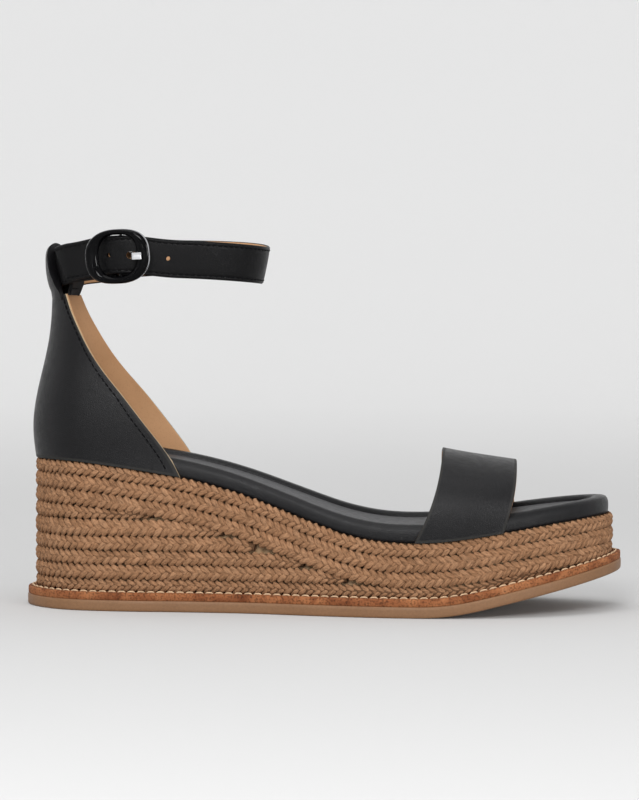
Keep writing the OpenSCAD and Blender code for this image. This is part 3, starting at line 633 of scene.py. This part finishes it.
def rim_metal_material():
    look = Look("buckle_rim_metal", (0.42, 0.43, 0.45), 0.2, metallic=1.0)
    worn = look.noise(1.2 * MM, 3)
    look.roughness(look.ramp(worn, (0.3, 0.12), (0.7, 0.30)))
    look.colour(look.mix(worn, (0.30, 0.31, 0.33), (0.62, 0.62, 0.64)))
    return look.material


black = leather_material("black_leather", (0.0030, 0.0029, 0.0034), (0.0055, 0.0053, 0.0062), 0.36,
                         gloss=0.22)
# A darker copy of the black leather for the strap and the loop: its darker colour is painted shade.
strap_black_painted_shade = leather_material("strap_leather_painted_shade", (0.0020, 0.0019, 0.0022), (0.0036, 0.0035, 0.0040), 0.34,
                               gloss=0.13)
black_edge = leather_material("cut_leather_edge", (0.008, 0.0075, 0.007), (0.016, 0.015, 0.013), 0.6,
                              depth=0.02 * MM)
# The sock's grey colour, far lighter than the black leather, is painted sheen.
sock_leather = leather_material("sock_leather", (0.030, 0.030, 0.032), (0.040, 0.040, 0.043), 0.5,
                                grain=0.5 * MM, depth=0.02 * MM, gloss=0.35)
tan = lining_material("tan_lining", (0.355, 0.190, 0.090), (0.470, 0.268, 0.138))
jute = jute_material("jute_braid", 1.0)
# The core is the jute darkened to 0.42: painted shade between the strands.
jute_core_painted_shade = jute_material("jute_core_painted_shade", 0.42)
welt_leather = welt_material()
rubber = rubber_material()
cream_thread = thread_material("cream_thread", (0.54, 0.37, 0.23))
black_thread = thread_material("black_thread", (0.0025, 0.0025, 0.003), 0.06)
enamel = enamel_material()
rim_metal = rim_metal_material()
chrome = chrome_material()
steel = steel_material()


# ---------- Sole ----------
def make_outsole():
    section = [(1.2 * MM, 0, 0), (0.35 * MM, 0.02, 0), (0.05 * MM, 0.12, 0), (0, 0.3, 0), (0, 0.7, 0),
               (0.05 * MM, 0.92, 0), (0.3 * MM, 1, 0), (2.0 * MM, 1, 0)]
    skin = layer("outsole_skin", section, sole.floor, sole.welt_low, rubber)
    place(skin, "sole", "outsole_rubber", "outsole")


def make_welt():
    section = [(2.0 * MM, 0, 0), (0.45 * MM, 0, 0), (0.25 * MM, 0.12, 0), (0.2 * MM, 0.5, 0),
               (0.28 * MM, 0.85, 0), (0.55 * MM, 0.98, 0), (0.9 * MM, 1, 0), (3.4 * MM, 1, 0)]
    strip = layer("welt_strip", section, sole.welt_low, sole.welt_top, welt_leather)
    place(strip, "sole", "welt_leather", "welt")


def stitches(name, path, normals, length, gap, radius, material, sink=0.5, closed=False):
    """Separate arched stitches along a path of points, each dipping into the surface at its two ends."""
    path, normals = np.asarray(path, float), unit(np.asarray(normals, float))
    if closed:
        path, normals = np.vstack([path, path[:1]]), np.vstack([normals, normals[:1]])
    run = run_of(path)
    count = max(1, int(round(run[-1] / (length + gap))))
    pitch = run[-1] / count
    sides, rings = 6, 7
    points, faces = [], []
    for k in range(count):
        middle = (k + 0.5) * pitch
        s = middle + (pitch - gap) * (np.linspace(0, 1, rings) - 0.5)
        line, up = sample(s, run, path), unit(sample(s, run, normals))
        t = np.linspace(-1, 1, rings)[:, None]
        line = line + up * radius * (1 - sink - (1 + sink) * np.abs(t) ** 4)
        side = unit(np.cross(np.gradient(line, axis=0), up))
        base = len(points)
        thick = radius * (0.6 + 0.4 * np.sqrt(np.maximum(0, 1 - t ** 4)))
        for a in np.arange(sides) * 2 * math.pi / sides:
            points += (line + thick * (side * math.cos(a) + up * math.sin(a))).tolist()
        for j in range(rings - 1):
            for a in range(sides):
                b = (a + 1) % sides
                faces.append((base + a * rings + j, base + b * rings + j,
                              base + b * rings + j + 1, base + a * rings + j + 1))
    return object_of(points, faces, name, material)


def make_welt_stitches():
    p = sole.inset(STITCH_INSET)
    path = np.column_stack([p, sole.welt_top(p[:, 0]) + 0.05 * MM])
    piece = stitches("welt_stitching", path, np.tile(UP, (len(path), 1)), 3.3 * MM, 0.8 * MM, 0.38 * MM,
                     cream_thread, sink=0.2, closed=True)
    place(piece, "sole", "cream_thread", "welt_stitches")


# ---------- Braided rope ----------
STRAND_PITCH = 3.1 * MM
STRAND_RUN = 3.8 * MM
STRAND_RINGS = 8
STRAND_SIDES = 8
# A strand starts near its row's edge and crosses the middle line, in shares of half the row's height
STRAND_EDGE = 0.83
STRAND_CROSSING = 1.01
# Its radius, in shares of the row's height, and how flat it is
STRAND_RADIUS = 0.205
STRAND_FLATNESS = 0.80
# How far it stands out of the row's middle, in millimetres, along its run
STRAND_LIFT = ((0, 0.16, 0.38, 0.62, 0.84, 1), (0.45, 1.12, 1.38, 1.46, 1.15, 0.2))
CORE_DEPTH = 1.95 * MM
CORE_GAP = 0.35 * MM


class Row:
    """One row of rope: its middle line, its height and its directions at any distance along it."""

    def __init__(self, node, centre_inset):
        plan = tidy_inset(centre_inset)
        tree = node_tree(node)
        spans = [span_at(tree, x, y) for x, y in plan]
        self.full = all(spans)
        found = [k for k, s in enumerate(spans) if s]
        heights = [s[1] - s[0] for s in spans if s]
        self.tall = max(heights)
        keep = np.arange(found[0], found[-1] + 1)
        low = np.interp(keep, found, [spans[k][0] for k in found])
        high = np.interp(keep, found, [spans[k][1] for k in found])
        if self.full:
            keep = np.concatenate([keep, keep[:1]])
            low, high = np.append(low, low[0]), np.append(high, high[0])
        self.height = high - low
        size = np.maximum(self.height, 0.66 * self.tall)
        self.centre = np.column_stack([plan[keep], low + size / 2])
        self.size = size
        self.tuck = (size - self.height) / self.tall * 5 * MM
        self.outward = np.column_stack([-sole.inward[keep], np.zeros(len(keep))])
        self.run = run_of(self.centre)
        self.length = self.run[-1]

    def at(self, s):
        """Middle, outward and upward directions and height at distances s."""
        if self.full:
            s = np.mod(s, self.length)
        s = np.clip(s, 0, self.length)
        outward = unit(sample(s, self.run, self.outward))
        forward = unit(sample(s, self.run, np.gradient(self.centre, axis=0)))
        centre = sample(s, self.run, self.centre) - outward * sample(s, self.run, self.tuck)[..., None]
        return centre, outward, unit(np.cross(forward, outward)), sample(s, self.run, self.size)


def braid(row, name):
    """Two families of strands that come over the row's edges and meet at its middle line."""
    count = int(round(row.length / STRAND_PITCH))
    pitch = row.length / count
    k = np.arange(count)
    points, faces, yarn = [], [], []
    t = np.linspace(0, 1, STRAND_RINGS)
    angles = np.arange(STRAND_SIDES) * 2 * math.pi / STRAND_SIDES - math.pi / 2
    for side in (1, -1):
        start = (k + (0.25 if side > 0 else 0.75)) * pitch + rng.normal(0, 0.10 * MM, count)
        if not row.full:
            start = start[(start > STRAND_RUN / 2) & (start < row.length - STRAND_RUN / 2)]
        n = len(start)
        s = start[:, None] - STRAND_RUN * (t[None, :] - 0.5)
        centre, outward, up, size = row.at(s)
        wobble = rng.normal(0, 0.04, (n, 1))
        across = side * (STRAND_EDGE - STRAND_CROSSING * t ** 1.05 + wobble * (1 - t)) * size / 2
        lift = np.interp(t, *STRAND_LIFT)[None, :]
        lift = lift * MM + rng.normal(0, 0.07 * MM, (n, 1))
        line = centre + up * across[..., None] + outward * lift[..., None]
        d = unit(np.gradient(line, axis=1))
        wide = unit(np.cross(d, outward))
        deep = unit(np.cross(wide, d))
        swell = 0.86 + 0.20 * np.sin(math.pi * np.clip(t, 0, 1)) ** 0.7
        r = (STRAND_RADIUS * size * swell * (1 + rng.normal(0, 0.045, (n, 1))))[..., None, None]
        ring = wide[:, :, None] * np.cos(angles)[None, None, :, None] \
            + deep[:, :, None] * STRAND_FLATNESS * np.sin(angles)[None, None, :, None]
        p = line[:, :, None] + r * ring
        base = len(points)
        points += p.reshape(-1, 3).tolist()
        per = STRAND_RINGS * STRAND_SIDES
        pattern = tube_faces(STRAND_RINGS, STRAND_SIDES)
        for j in range(n):
            faces += [tuple(base + j * per + q for q in f) for f in pattern]
        tone = rng.uniform(0, 1, n)
        place_along = s / MM * 0.9 + rng.uniform(0, 50, (n, 1))
        around = np.arange(STRAND_SIDES) / STRAND_SIDES
        block = np.stack(np.broadcast_arrays(place_along[..., None], around[None, None, :],
                                             tone[:, None, None]), -1)
        yarn.append(block.reshape(-1, 3))
    piece = object_of(points, faces, name, jute)
    attribute = piece.data.attributes.new("yarn", "FLOAT_VECTOR", "POINT")
    attribute.data.foreach_set("vector", np.concatenate(yarn).astype(np.float32).ravel())
    return piece


def rope_core(row, name):
    """The inside of the row, seen only between its strands; its darker colour is painted shade in the gaps
    between them.
    """
    sides = 12
    s = row.run if not row.full else row.run[:-1]
    centre, outward, up, size = row.at(s[::2])
    points = []
    for c, o, u, h in zip(centre, outward, up, size):
        for a in np.arange(sides) * 2 * math.pi / sides:
            points.append(c + o * CORE_DEPTH * math.cos(a) + u * (h / 2 - CORE_GAP) * math.sin(a))
    return object_of(points, tube_faces(len(centre), sides, closed=row.full), name, jute_core_painted_shade)


def make_rope():
    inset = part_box("jute_row_1")[0].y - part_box("outsole")[0].y + ROPE_DEPTH / 2
    for k in range(1, 10):
        node = f"jute_row_{k}"
        row = Row(node, inset)
        place(braid(row, f"rope_{k}_braid"), "sole", "jute_braid", node)
        # Each row's core carries the darkened jute, painted shade between the strands.
        place(rope_core(row, f"rope_{k}_core"), "sole", "jute_braid")


# ---------- Footbed ----------
def make_footbed():
    """Leather over padding, with a padded rim round a sunken sock."""
    rise = frame_height("footbed_cover")
    section = [(d * MM, 0, z * rise) for d, z in (
        (7.5, 0.0), (5.9, 0.0), (5.5, 0.04), (5.38, 0.2), (5.34, 0.42), (5.45, 0.62), (5.8, 0.79),
        (6.5, 0.92), (7.5, 0.985), (8.7, 1.01), (10.0, 1.01), (11.2, 0.99), (12.0, 0.95),
        (12.55, 0.885), (12.9, 0.79), (13.04, 0.68), (13.06, 0.56))]
    cover = layer("footbed_leather", section, sole.top, sole.top, black)
    place(cover, "sole", "black_leather", "footbed_cover")
    foam_section = [(d * MM, 0, z * rise) for d, z in (
        (9.0, 0.03), (7.6, 0.06), (7.1, 0.3), (7.3, 0.65), (8.3, 0.84), (10.2, 0.86), (11.6, 0.80),
        (12.3, 0.62), (12.6, 0.50), (15.0, 0.50))]
    foam = layer("footbed_padding", foam_section, sole.top, sole.top, foam_material())
    place(foam, "sole", "footbed_foam", "footbed_foam")
    # The sock's grey leather colour is painted sheen on black leather.
    sock_section = [(d * MM, 0, z * rise) for d, z in (
        (13.6, 0.56), (13.14, 0.60), (13.08, 0.66), (13.16, 0.71), (13.6, 0.735), (15.0, 0.74))]
    sock = layer("sock_lining_leather", sock_section, sole.top, sole.top, sock_leather,
                 crown=lambda across: -0.5 * MM * across)
    place(sock, "sole", "sock_leather", "sock_lining")


def frame_height(node):
    """Height of a footbed layer's rim above the sole's top, halfway along the sandal."""
    tree = node_tree(node)
    rim = sole.inset(FOOTBED_INSET + RIM_MIDDLE)[:sole.count // 2]
    y = np.interp(0.0, -rim[:, 0], rim[:, 1])
    return span_at(tree, 0.0, y)[1] - float(sole.top(0.0))


# ---------- Leather shells ----------
def refined(node, name, materials, bevel):
    """A smooth version of a faceted CAD shell: quads joined, edges rounded, then subdivided."""
    bm = bmesh.new()
    bm.from_mesh(frame["nodes"][node].data)
    bmesh.ops.remove_doubles(bm, verts=bm.verts, dist=0.005 * MM)
    bmesh.ops.join_triangles(bm, faces=bm.faces, angle_face_threshold=math.radians(25),
                             angle_shape_threshold=math.radians(180))
    piece = object_from(bm, name, *materials)
    edge = round_edges(piece, bevel, 2, 42)
    edge.material = len(materials) - 1
    subdivide(piece, 2)
    return piece


def thread_lines(node, ring_size=0.7 * MM):
    """The middle line of each thread of a CAD node, from the centres of its small rings."""
    bm = bmesh.new()
    bm.from_mesh(frame["nodes"][node].data)
    bmesh.ops.remove_doubles(bm, verts=bm.verts, dist=0.002 * MM)
    bm.verts.ensure_lookup_table()
    ring_of, rings = {}, []
    for v in bm.verts:
        if v.index in ring_of:
            continue
        stack, members = [v], []
        ring_of[v.index] = len(rings)
        while stack:
            w = stack.pop()
            members.append(w.co.copy())
            for e in w.link_edges:
                o = e.other_vert(w)
                if o.index not in ring_of and (o.co - w.co).length < ring_size:
                    ring_of[o.index] = len(rings)
                    stack.append(o)
        rings.append(sum(members, Vector()) / len(members))
    links = {k: set() for k in range(len(rings))}
    for e in bm.edges:
        a, b = (ring_of[v.index] for v in e.verts)
        if a != b:
            links[a].add(b)
            links[b].add(a)
    bm.free()
    lines, used = [], set()
    for start in sorted(links, key=lambda k: len(links[k])):
        if start in used or len(links[start]) != 1:
            continue
        line, here = [], start
        while here is not None:
            used.add(here)
            line.append(rings[here])
            here = next((k for k in sorted(links[here]) if k not in used), None)
        lines.append(np.array([list(p) for p in line]))
    return lines


def surface_normals(tree, points, middle):
    """Outward surface directions at points close to a node."""
    out = []
    for p in points:
        normal = tree.find_nearest(Vector(p))[1]
        away = Vector(p) - Vector(middle)
        out.append(list(normal if normal.dot(away) > 0 else -normal))
    out = np.array(out)
    return unit(out + np.roll(out, 1, 0) + np.roll(out, -1, 0))


def draw_back(piece):
    """The inner half of the toe strap sits a little farther back than in CAD."""
    for vertex in piece.data.vertices:
        vertex.co.x -= DRAW_BACK * min(1, max(0, vertex.co.y / DRAW_BACK_RUN))


def make_vamp():
    outer = refined("vamp_outer", "toe_strap_leather", (black, black_edge), 0.25 * MM)
    draw_back(outer)
    place(outer, "sole", "black_leather", "vamp_outer")
    lining = refined("vamp_lining", "toe_strap_lining", (tan,), 0.15 * MM)
    draw_back(lining)
    place(lining, "sole", "tan_lining", "vamp_lining")


def make_counter():
    outer = refined("counter_outer", "counter_leather", (black, black_edge), 0.22 * MM)
    place(outer, "sole", "black_leather", "counter_outer")
    lining = refined("counter_lining", "counter_lining_leather", (tan,), 0.15 * MM)
    place(lining, "sole", "tan_lining", "counter_lining")
    tree = node_tree("counter_outer")
    for k, line in enumerate(thread_lines("counter_thread")):
        path = smooth_open(line, 6)
        normals = surface_normals(tree, path, (-0.095, 0, 0.09))
        piece = stitches(f"counter_stitching_{k + 1}", path - normals * 0.1 * MM, normals, 2.1 * MM, 0.5 * MM,
                         0.25 * MM, black_thread)
        place(piece, "sole", "black_thread", *(["counter_thread"] if k == 0 else []))


# ---------- Ankle strap ----------
class Strap:
    """The strap's outer face, its directions and its run, from the two rows of thread along its edges."""

    def __init__(self):
        lines = thread_lines("ankle_strap_thread", 0.452 * MM)
        low, high = sorted(lines, key=lambda p: p[:, 2].mean())
        tail = np.array(frame_joint("buckle_rock")["pos_m"])
        if np.linalg.norm(low[0] - high[0]) > 0.02:
            high = high[::-1]
        if np.linalg.norm(low[0] - tail) > np.linalg.norm(low[-1] - tail):
            low, high = low[::-1], high[::-1]
        low, high = smooth_open(low, 4), smooth_open(high, 4)
        self.middle = (low + high) / 2
        self.across = unit(high - low)
        along = unit(np.gradient(self.middle, axis=0))
        self.out = unit(np.cross(along, self.across))
        self.low, self.high = low, high
        centre = np.array(frame_joint("strap_slip")["pos_m"]) + np.array([0.02, 0, 0])
        flip = np.sign(np.einsum("ij,ij->i", self.out, self.middle - centre))
        self.out = self.out * np.where(flip == 0, 1, flip)[:, None]
        self.along = along
        self.middle = self.middle - self.out * 0.14 * MM
        self.count = len(self.middle)
        self.half = np.linalg.norm(high - low, axis=1).mean() / 2 + THREAD_INSET

    def point(self, i, across, out):
        return self.middle[i] + self.across[i] * across + self.out[i] * out


def frame_joint(name):
    return next(j for j in frame["joints"] if j["name"] == name)


def strap_loft(strap, section, name, material):
    """The strap's section, as (across, out) pairs, carried along it."""
    points = []
    for i in range(strap.count):
        points += [strap.point(i, a, o) for a, o in section]
    return object_of(points, tube_faces(strap.count, len(section)), name, material)


def bore(piece, places, length):
    """Cuts holes through a piece, each at a point, along a direction, with its radius and stretch."""
    sides = 20
    points, faces = [], []
    for centre, direction, along, radius, stretch in places:
        side = unit(np.cross(direction, along))
        ahead = unit(np.cross(side, direction))
        base = len(points)
        for end in (-1, 1):
            for k in range(sides):
                a = 2 * math.pi * k / sides
                shift = stretch * np.sign(round(math.cos(a), 6)) / 2
                points.append(centre + direction * end * length / 2
                              + ahead * (radius * math.cos(a) + shift) + side * radius * math.sin(a))
        faces += [tuple(base + q for q in f) for f in tube_faces(2, sides)]
    cutter = object_of(points, faces, piece.name + "_cutter")
    turn_outward(cutter.data)
    modifier = piece.modifiers.new("holes", "BOOLEAN")
    modifier.object = cutter
    modifier.operation = "DIFFERENCE"
    modifier.solver = "EXACT"
    apply_modifiers(piece)
    bpy.data.objects.remove(cutter)


def apply_modifiers(piece):
    depsgraph = bpy.context.evaluated_depsgraph_get()
    mesh = bpy.data.meshes.new_from_object(piece.evaluated_get(depsgraph))
    piece.modifiers.clear()
    piece.data = mesh


def make_strap():
    strap = Strap()
    half, t = strap.half, 1.2 * MM
    seam = half - THREAD_INSET
    outer = [(-half + 0.1 * MM, -t), (-half, -0.75 * t), (-half, -0.35 * t), (-half + 0.35 * MM, -0.08 * t),
             (-half + 0.8 * MM, 0.04 * MM), (-seam - 0.25 * MM, -0.02 * MM), (-seam, -0.12 * MM),
             (-seam + 0.3 * MM, 0.0), (-seam + 1.1 * MM, 0.10 * MM), (-half * 0.4, 0.16 * MM),
             (0, 0.18 * MM)]
    outer += [(-a, o) for a, o in outer[-2::-1]]
    outer += [(half * 0.4, -t), (0, -t), (-half * 0.4, -t)]
    # The strap uses the darker copy of the black leather, painted shade.
    leather = strap_loft(strap, outer, "ankle_strap_leather", strap_black_painted_shade)
    inset = 0.45 * MM
    lining_low, lining_high = -1.95 * MM, -1.24 * MM
    lining = [(-half + inset, lining_high), (-half + inset, lining_low + 0.2 * MM),
              (-half + 2 * inset, lining_low), (0, lining_low), (half - 2 * inset, lining_low),
              (half - inset, lining_low + 0.2 * MM), (half - inset, lining_high), (0, lining_high)]
    under = strap_loft(strap, lining, "ankle_strap_lining_leather", tan)
    places = strap_holes(strap)
    for piece in (leather, under):
        bore(piece, places, 2.4 * MM)
    place(leather, "ankle_strap", "black_leather", "ankle_strap_outer")
    place(under, "ankle_strap", "tan_lining", "ankle_strap_lining")
    for k, line in enumerate((strap.low, strap.high)):
        piece = stitches(f"ankle_strap_stitching_{k + 1}", line - strap.out * 0.22 * MM, strap.out,
                         2.0 * MM, 0.55 * MM, 0.24 * MM, black_thread)
        place(piece, "ankle_strap", "black_thread", *(["ankle_strap_thread"] if k == 0 else []))


def strap_holes(strap):
    """Places of the holes in the outer layer: round ones behind and in front of the bar, and the prong's."""
    bar = BarFrame()
    outer = np.arange(strap.count // 2, strap.count)
    x = strap.middle[outer, 0]
    places = []
    for k in (-1, 0, 2, 3):
        i = outer[int(np.argmin(np.abs(x - bar.origin[0] - FIRST_HOLE - k * HOLE_PITCH)))]
        places.append((strap.point(i, 0, -STRAP_T / 2), strap.out[i], strap.along[i], 0.95 * MM, 0.0))
    slot = bar.out((PRONG_HOLE[0], -4 * MM, PRONG_HOLE[1]))[0]
    i = outer[int(np.argmin(np.linalg.norm(strap.middle[outer] - slot, axis=1)))]
    up = float((slot - strap.middle[i]) @ strap.across[i])
    places.append((strap.point(i, up, -STRAP_T / 2), strap.out[i], strap.along[i], *PRONG_SLOT))
    return places


# ---------- Heel tab ----------
def make_tab():
    """A tongue of leather that comes up from the counter, folds over the strap and is sewn down inside."""
    axis = np.array(frame_joint("strap_slip")["pos_m"])
    low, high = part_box("heel_tab")
    base_z, top_z = low.z, high.z
    radius = axis[0] - low.x
    t = 1.1 * MM
    rise = top_z - base_z
    # Distance out from the strap's curve, height, and half the angle that the leather goes round
    sheet = [(-1.9, -3.2, 46), (-1.6, -1.6, 45), (-1.35, 0.0, 43), (-0.6, 1.8, 40), (0.2, 4.6, 36.5),
             (0.8, 8.0, 32), (1.05, 12.0, 28), (0.9, 15.6, 26), (-0.1, 18.2, 25.5), (-2.1, 19.6, 25.5),
             (-4.2, 19.2, 27), (-5.4, 17.3, 31), (-5.6, 14.5, 37), (-6.1, 10.0, 46), (-6.6, 5.0, 51),
             (-7.0, 0.6, 45), (-7.15, -1.2, 41)]
    stretch = rise / (19.5 * MM)
    outer = smooth_open([(r * MM, z * MM * stretch, a) for r, z, a in sheet], 3)
    d = unit(np.gradient(outer[:, :2], axis=0))
    inner = outer.copy()
    inner[:, :2] -= np.column_stack([d[:, 1], -d[:, 0]]) * t
    section = np.vstack([outer, inner[::-1]])
    columns = 26
    points = []
    for c in range(columns + 1):
        f = 2 * c / columns - 1
        for r, z, half_angle in section:
            angle = math.radians(f * half_angle)
            points.append((axis[0] - (radius + r) * math.cos(angle),
                           (radius + r) * math.sin(angle), base_z + z))
    tab = object_of(points, tube_faces(columns + 1, len(section)), "heel_tab_leather", black)
    round_edges(tab, 0.25 * MM, 2, 50)
    subdivide(tab, 1)
    apply_modifiers(tab)
    smooth_all(tab)
    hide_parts("heel_tab", "heel_tab_patch")
    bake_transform(tab)
    seam = []
    seam_r, seam_z = radius - 6.85 * MM - t, base_z + 1.6 * MM
    for a in np.radians(np.linspace(-40, 40, 40)):
        seam.append((axis[0] - seam_r * math.cos(a), seam_r * math.sin(a), seam_z))
    seam = np.array(seam)
    inwards = unit(np.array([axis[0], 0, seam_z]) - seam)
    piece = stitches("heel_tab_stitching", seam - inwards * 0.05 * MM, inwards, 1.9 * MM, 0.5 * MM, 0.24 * MM,
                     black_thread)
    place(piece, "heel_tab", "black_thread", "heel_tab_thread")


def smooth_all(piece):
    piece.data.polygons.foreach_set("use_smooth", [True] * len(piece.data.polygons))


# ---------- Buckle ----------
class BarFrame:
    """The frame of the buckle's bar: x along the strap, y into it, z up the bar."""

    def __init__(self):
        joint = frame_joint("buckle_rock")
        self.origin = np.array(joint["pos_m"])
        self.z = -unit(np.array(joint["axis"], float))
        spread = np.zeros((3, 3))
        for face in frame["nodes"]["buckle_frame"].data.polygons:
            normal = np.array(face.normal)
            if abs(normal @ self.z) < 0.02:
                spread += np.outer(normal, normal) * face.area
        y = np.linalg.eigh(spread)[1][:, -1]
        self.y = unit(y * np.sign(y[1]))
        self.x = np.cross(self.y, self.z)

    def out(self, p):
        p = np.atleast_2d(np.asarray(p, float))
        return self.origin + p[:, :1] * self.x + p[:, 1:2] * self.y + p[:, 2:] * self.z

    def into(self, p):
        d = np.asarray(p) - self.origin
        return np.stack([d @ self.x, d @ self.y, d @ self.z], -1)


def make_buckle():
    """A domed, enamelled ring with a thin metal rim, carried on two cheeks."""
    bar = BarFrame()
    local = bar.into(node_points("buckle_frame"))
    low, high = local.min(0), local.max(0)
    mid_z = (low[2] + high[2]) / 2
    a, b = high[0], (high[2] - low[2]) / 2
    front = low[1]
    bow, rail, thick = 6 * MM, 2.8 * MM, 2.4 * MM
    steps = 96
    section = [(0.0, 0.0), (0.0, 0.30), (0.02, 0.42), (0.05, 0.52), (0.10, 0.66), (0.20, 0.84), (0.34, 0.97),
               (0.48, 1.0), (0.62, 0.94), (0.76, 0.78), (0.88, 0.52), (0.96, 0.24), (1.0, 0.0), (0.5, -0.04)]
    points = []
    for k in range(steps):
        u = 2 * math.pi * k / steps
        c, s = math.cos(u), math.sin(u)
        power = 0.70 if c * s > 0 else 0.90
        dx, dz = math.copysign(abs(c) ** power, c), math.copysign(abs(s) ** power, s)
        outer = np.array([a * dx, b * dz])
        inner = np.array([(a - bow) * dx, (b - rail) * dz])
        for w, h in section:
            x, z = outer * (1 - w) + (inner + (0, 0.4 * MM)) * w
            points.append((x, front + thick - thick * h, z + mid_z))
    sides = len(section)
    faces = tube_faces(steps, sides, closed=True)
    ring = object_of(bar.out(points), faces, "buckle_ring", enamel, rim_metal)
    for polygon in ring.data.polygons:
        if polygon.index % sides in (1, 2):
            polygon.material_index = 1
    turn_outward(ring.data)
    subdivide(ring, 2)
    place(ring, "buckle", "black_enamel", "buckle_frame")
    for k, side in enumerate((-1, 1)):
        inside = local[np.abs(local[:, 0]) < 2.45 * MM]
        inside = inside[inside[:, 1] > front + thick + 0.5 * MM]
        z = inside[:, 2][inside[:, 2] * side > 0]
        deep = inside[:, 1].max()
        make_cheek(bar, f"buckle_cheek_{k + 1}", z.min(), z.max(), front + thick - 0.4 * MM, deep)


def make_cheek(bar, name, z0, z1, y0, y1):
    """A small lug that carries the bar, rounded round it."""
    half = 2.4 * MM
    outline = [(-half, y0), (half, y0), (half, y1 - half)]
    for a in np.linspace(0, math.pi, 9)[1:-1]:
        outline.append((half * math.cos(a), y1 - half + half * math.sin(a)))
    outline += [(-half, y1 - half)]
    points = [(x, y, z) for z in (z0, z1) for x, y in outline]
    piece = object_of(bar.out(points), tube_faces(2, len(outline)), name, enamel)
    round_edges(piece, 0.3 * MM, 3, 40)
    place(piece, "buckle", "black_enamel")


def make_prong():
    """The prong, with its edges rounded."""
    show_node("prong", chrome, 0.28 * MM)


def make_loop():
    """The leather that holds the bar, with softened edges."""
    # The loop uses the strap's darker copy of the black leather, painted shade.
    show_node("buckle_loop", strap_black_painted_shade, 0.3 * MM)


def show_node(node, material, bevel):
    """A CAD node that keeps its own shape, with rounded edges and its own material."""
    piece = frame["nodes"][node]
    piece.data.materials.clear()
    piece.data.materials.append(material)
    weld = piece.modifiers.new("weld", "WELD")
    weld.merge_threshold = 0.004 * MM
    edge = round_edges(piece, bevel, 3, 35)
    edge.harden_normals = True
    smooth_all(piece)


def show_inner_parts():
    for node, material, bevel in (("wedge_core", cork_material(), 0.5), ("shank", steel, 0.2),
                                  ("shank_rivets", steel, 0.15), ("insole_board", board_material(), 0.2),
                                  ("buckle_bar", steel, 0.1),
                                  ("counter_stiffener", board_material(), 0.05)):
        show_node(node, material, bevel * MM)


make_camera()
make_studio()
make_floor()
make_outsole()
make_welt()
make_welt_stitches()
make_rope()
make_footbed()
make_vamp()
make_counter()
make_strap()
make_tab()
make_buckle()
make_prong()
make_loop()
show_inner_parts()
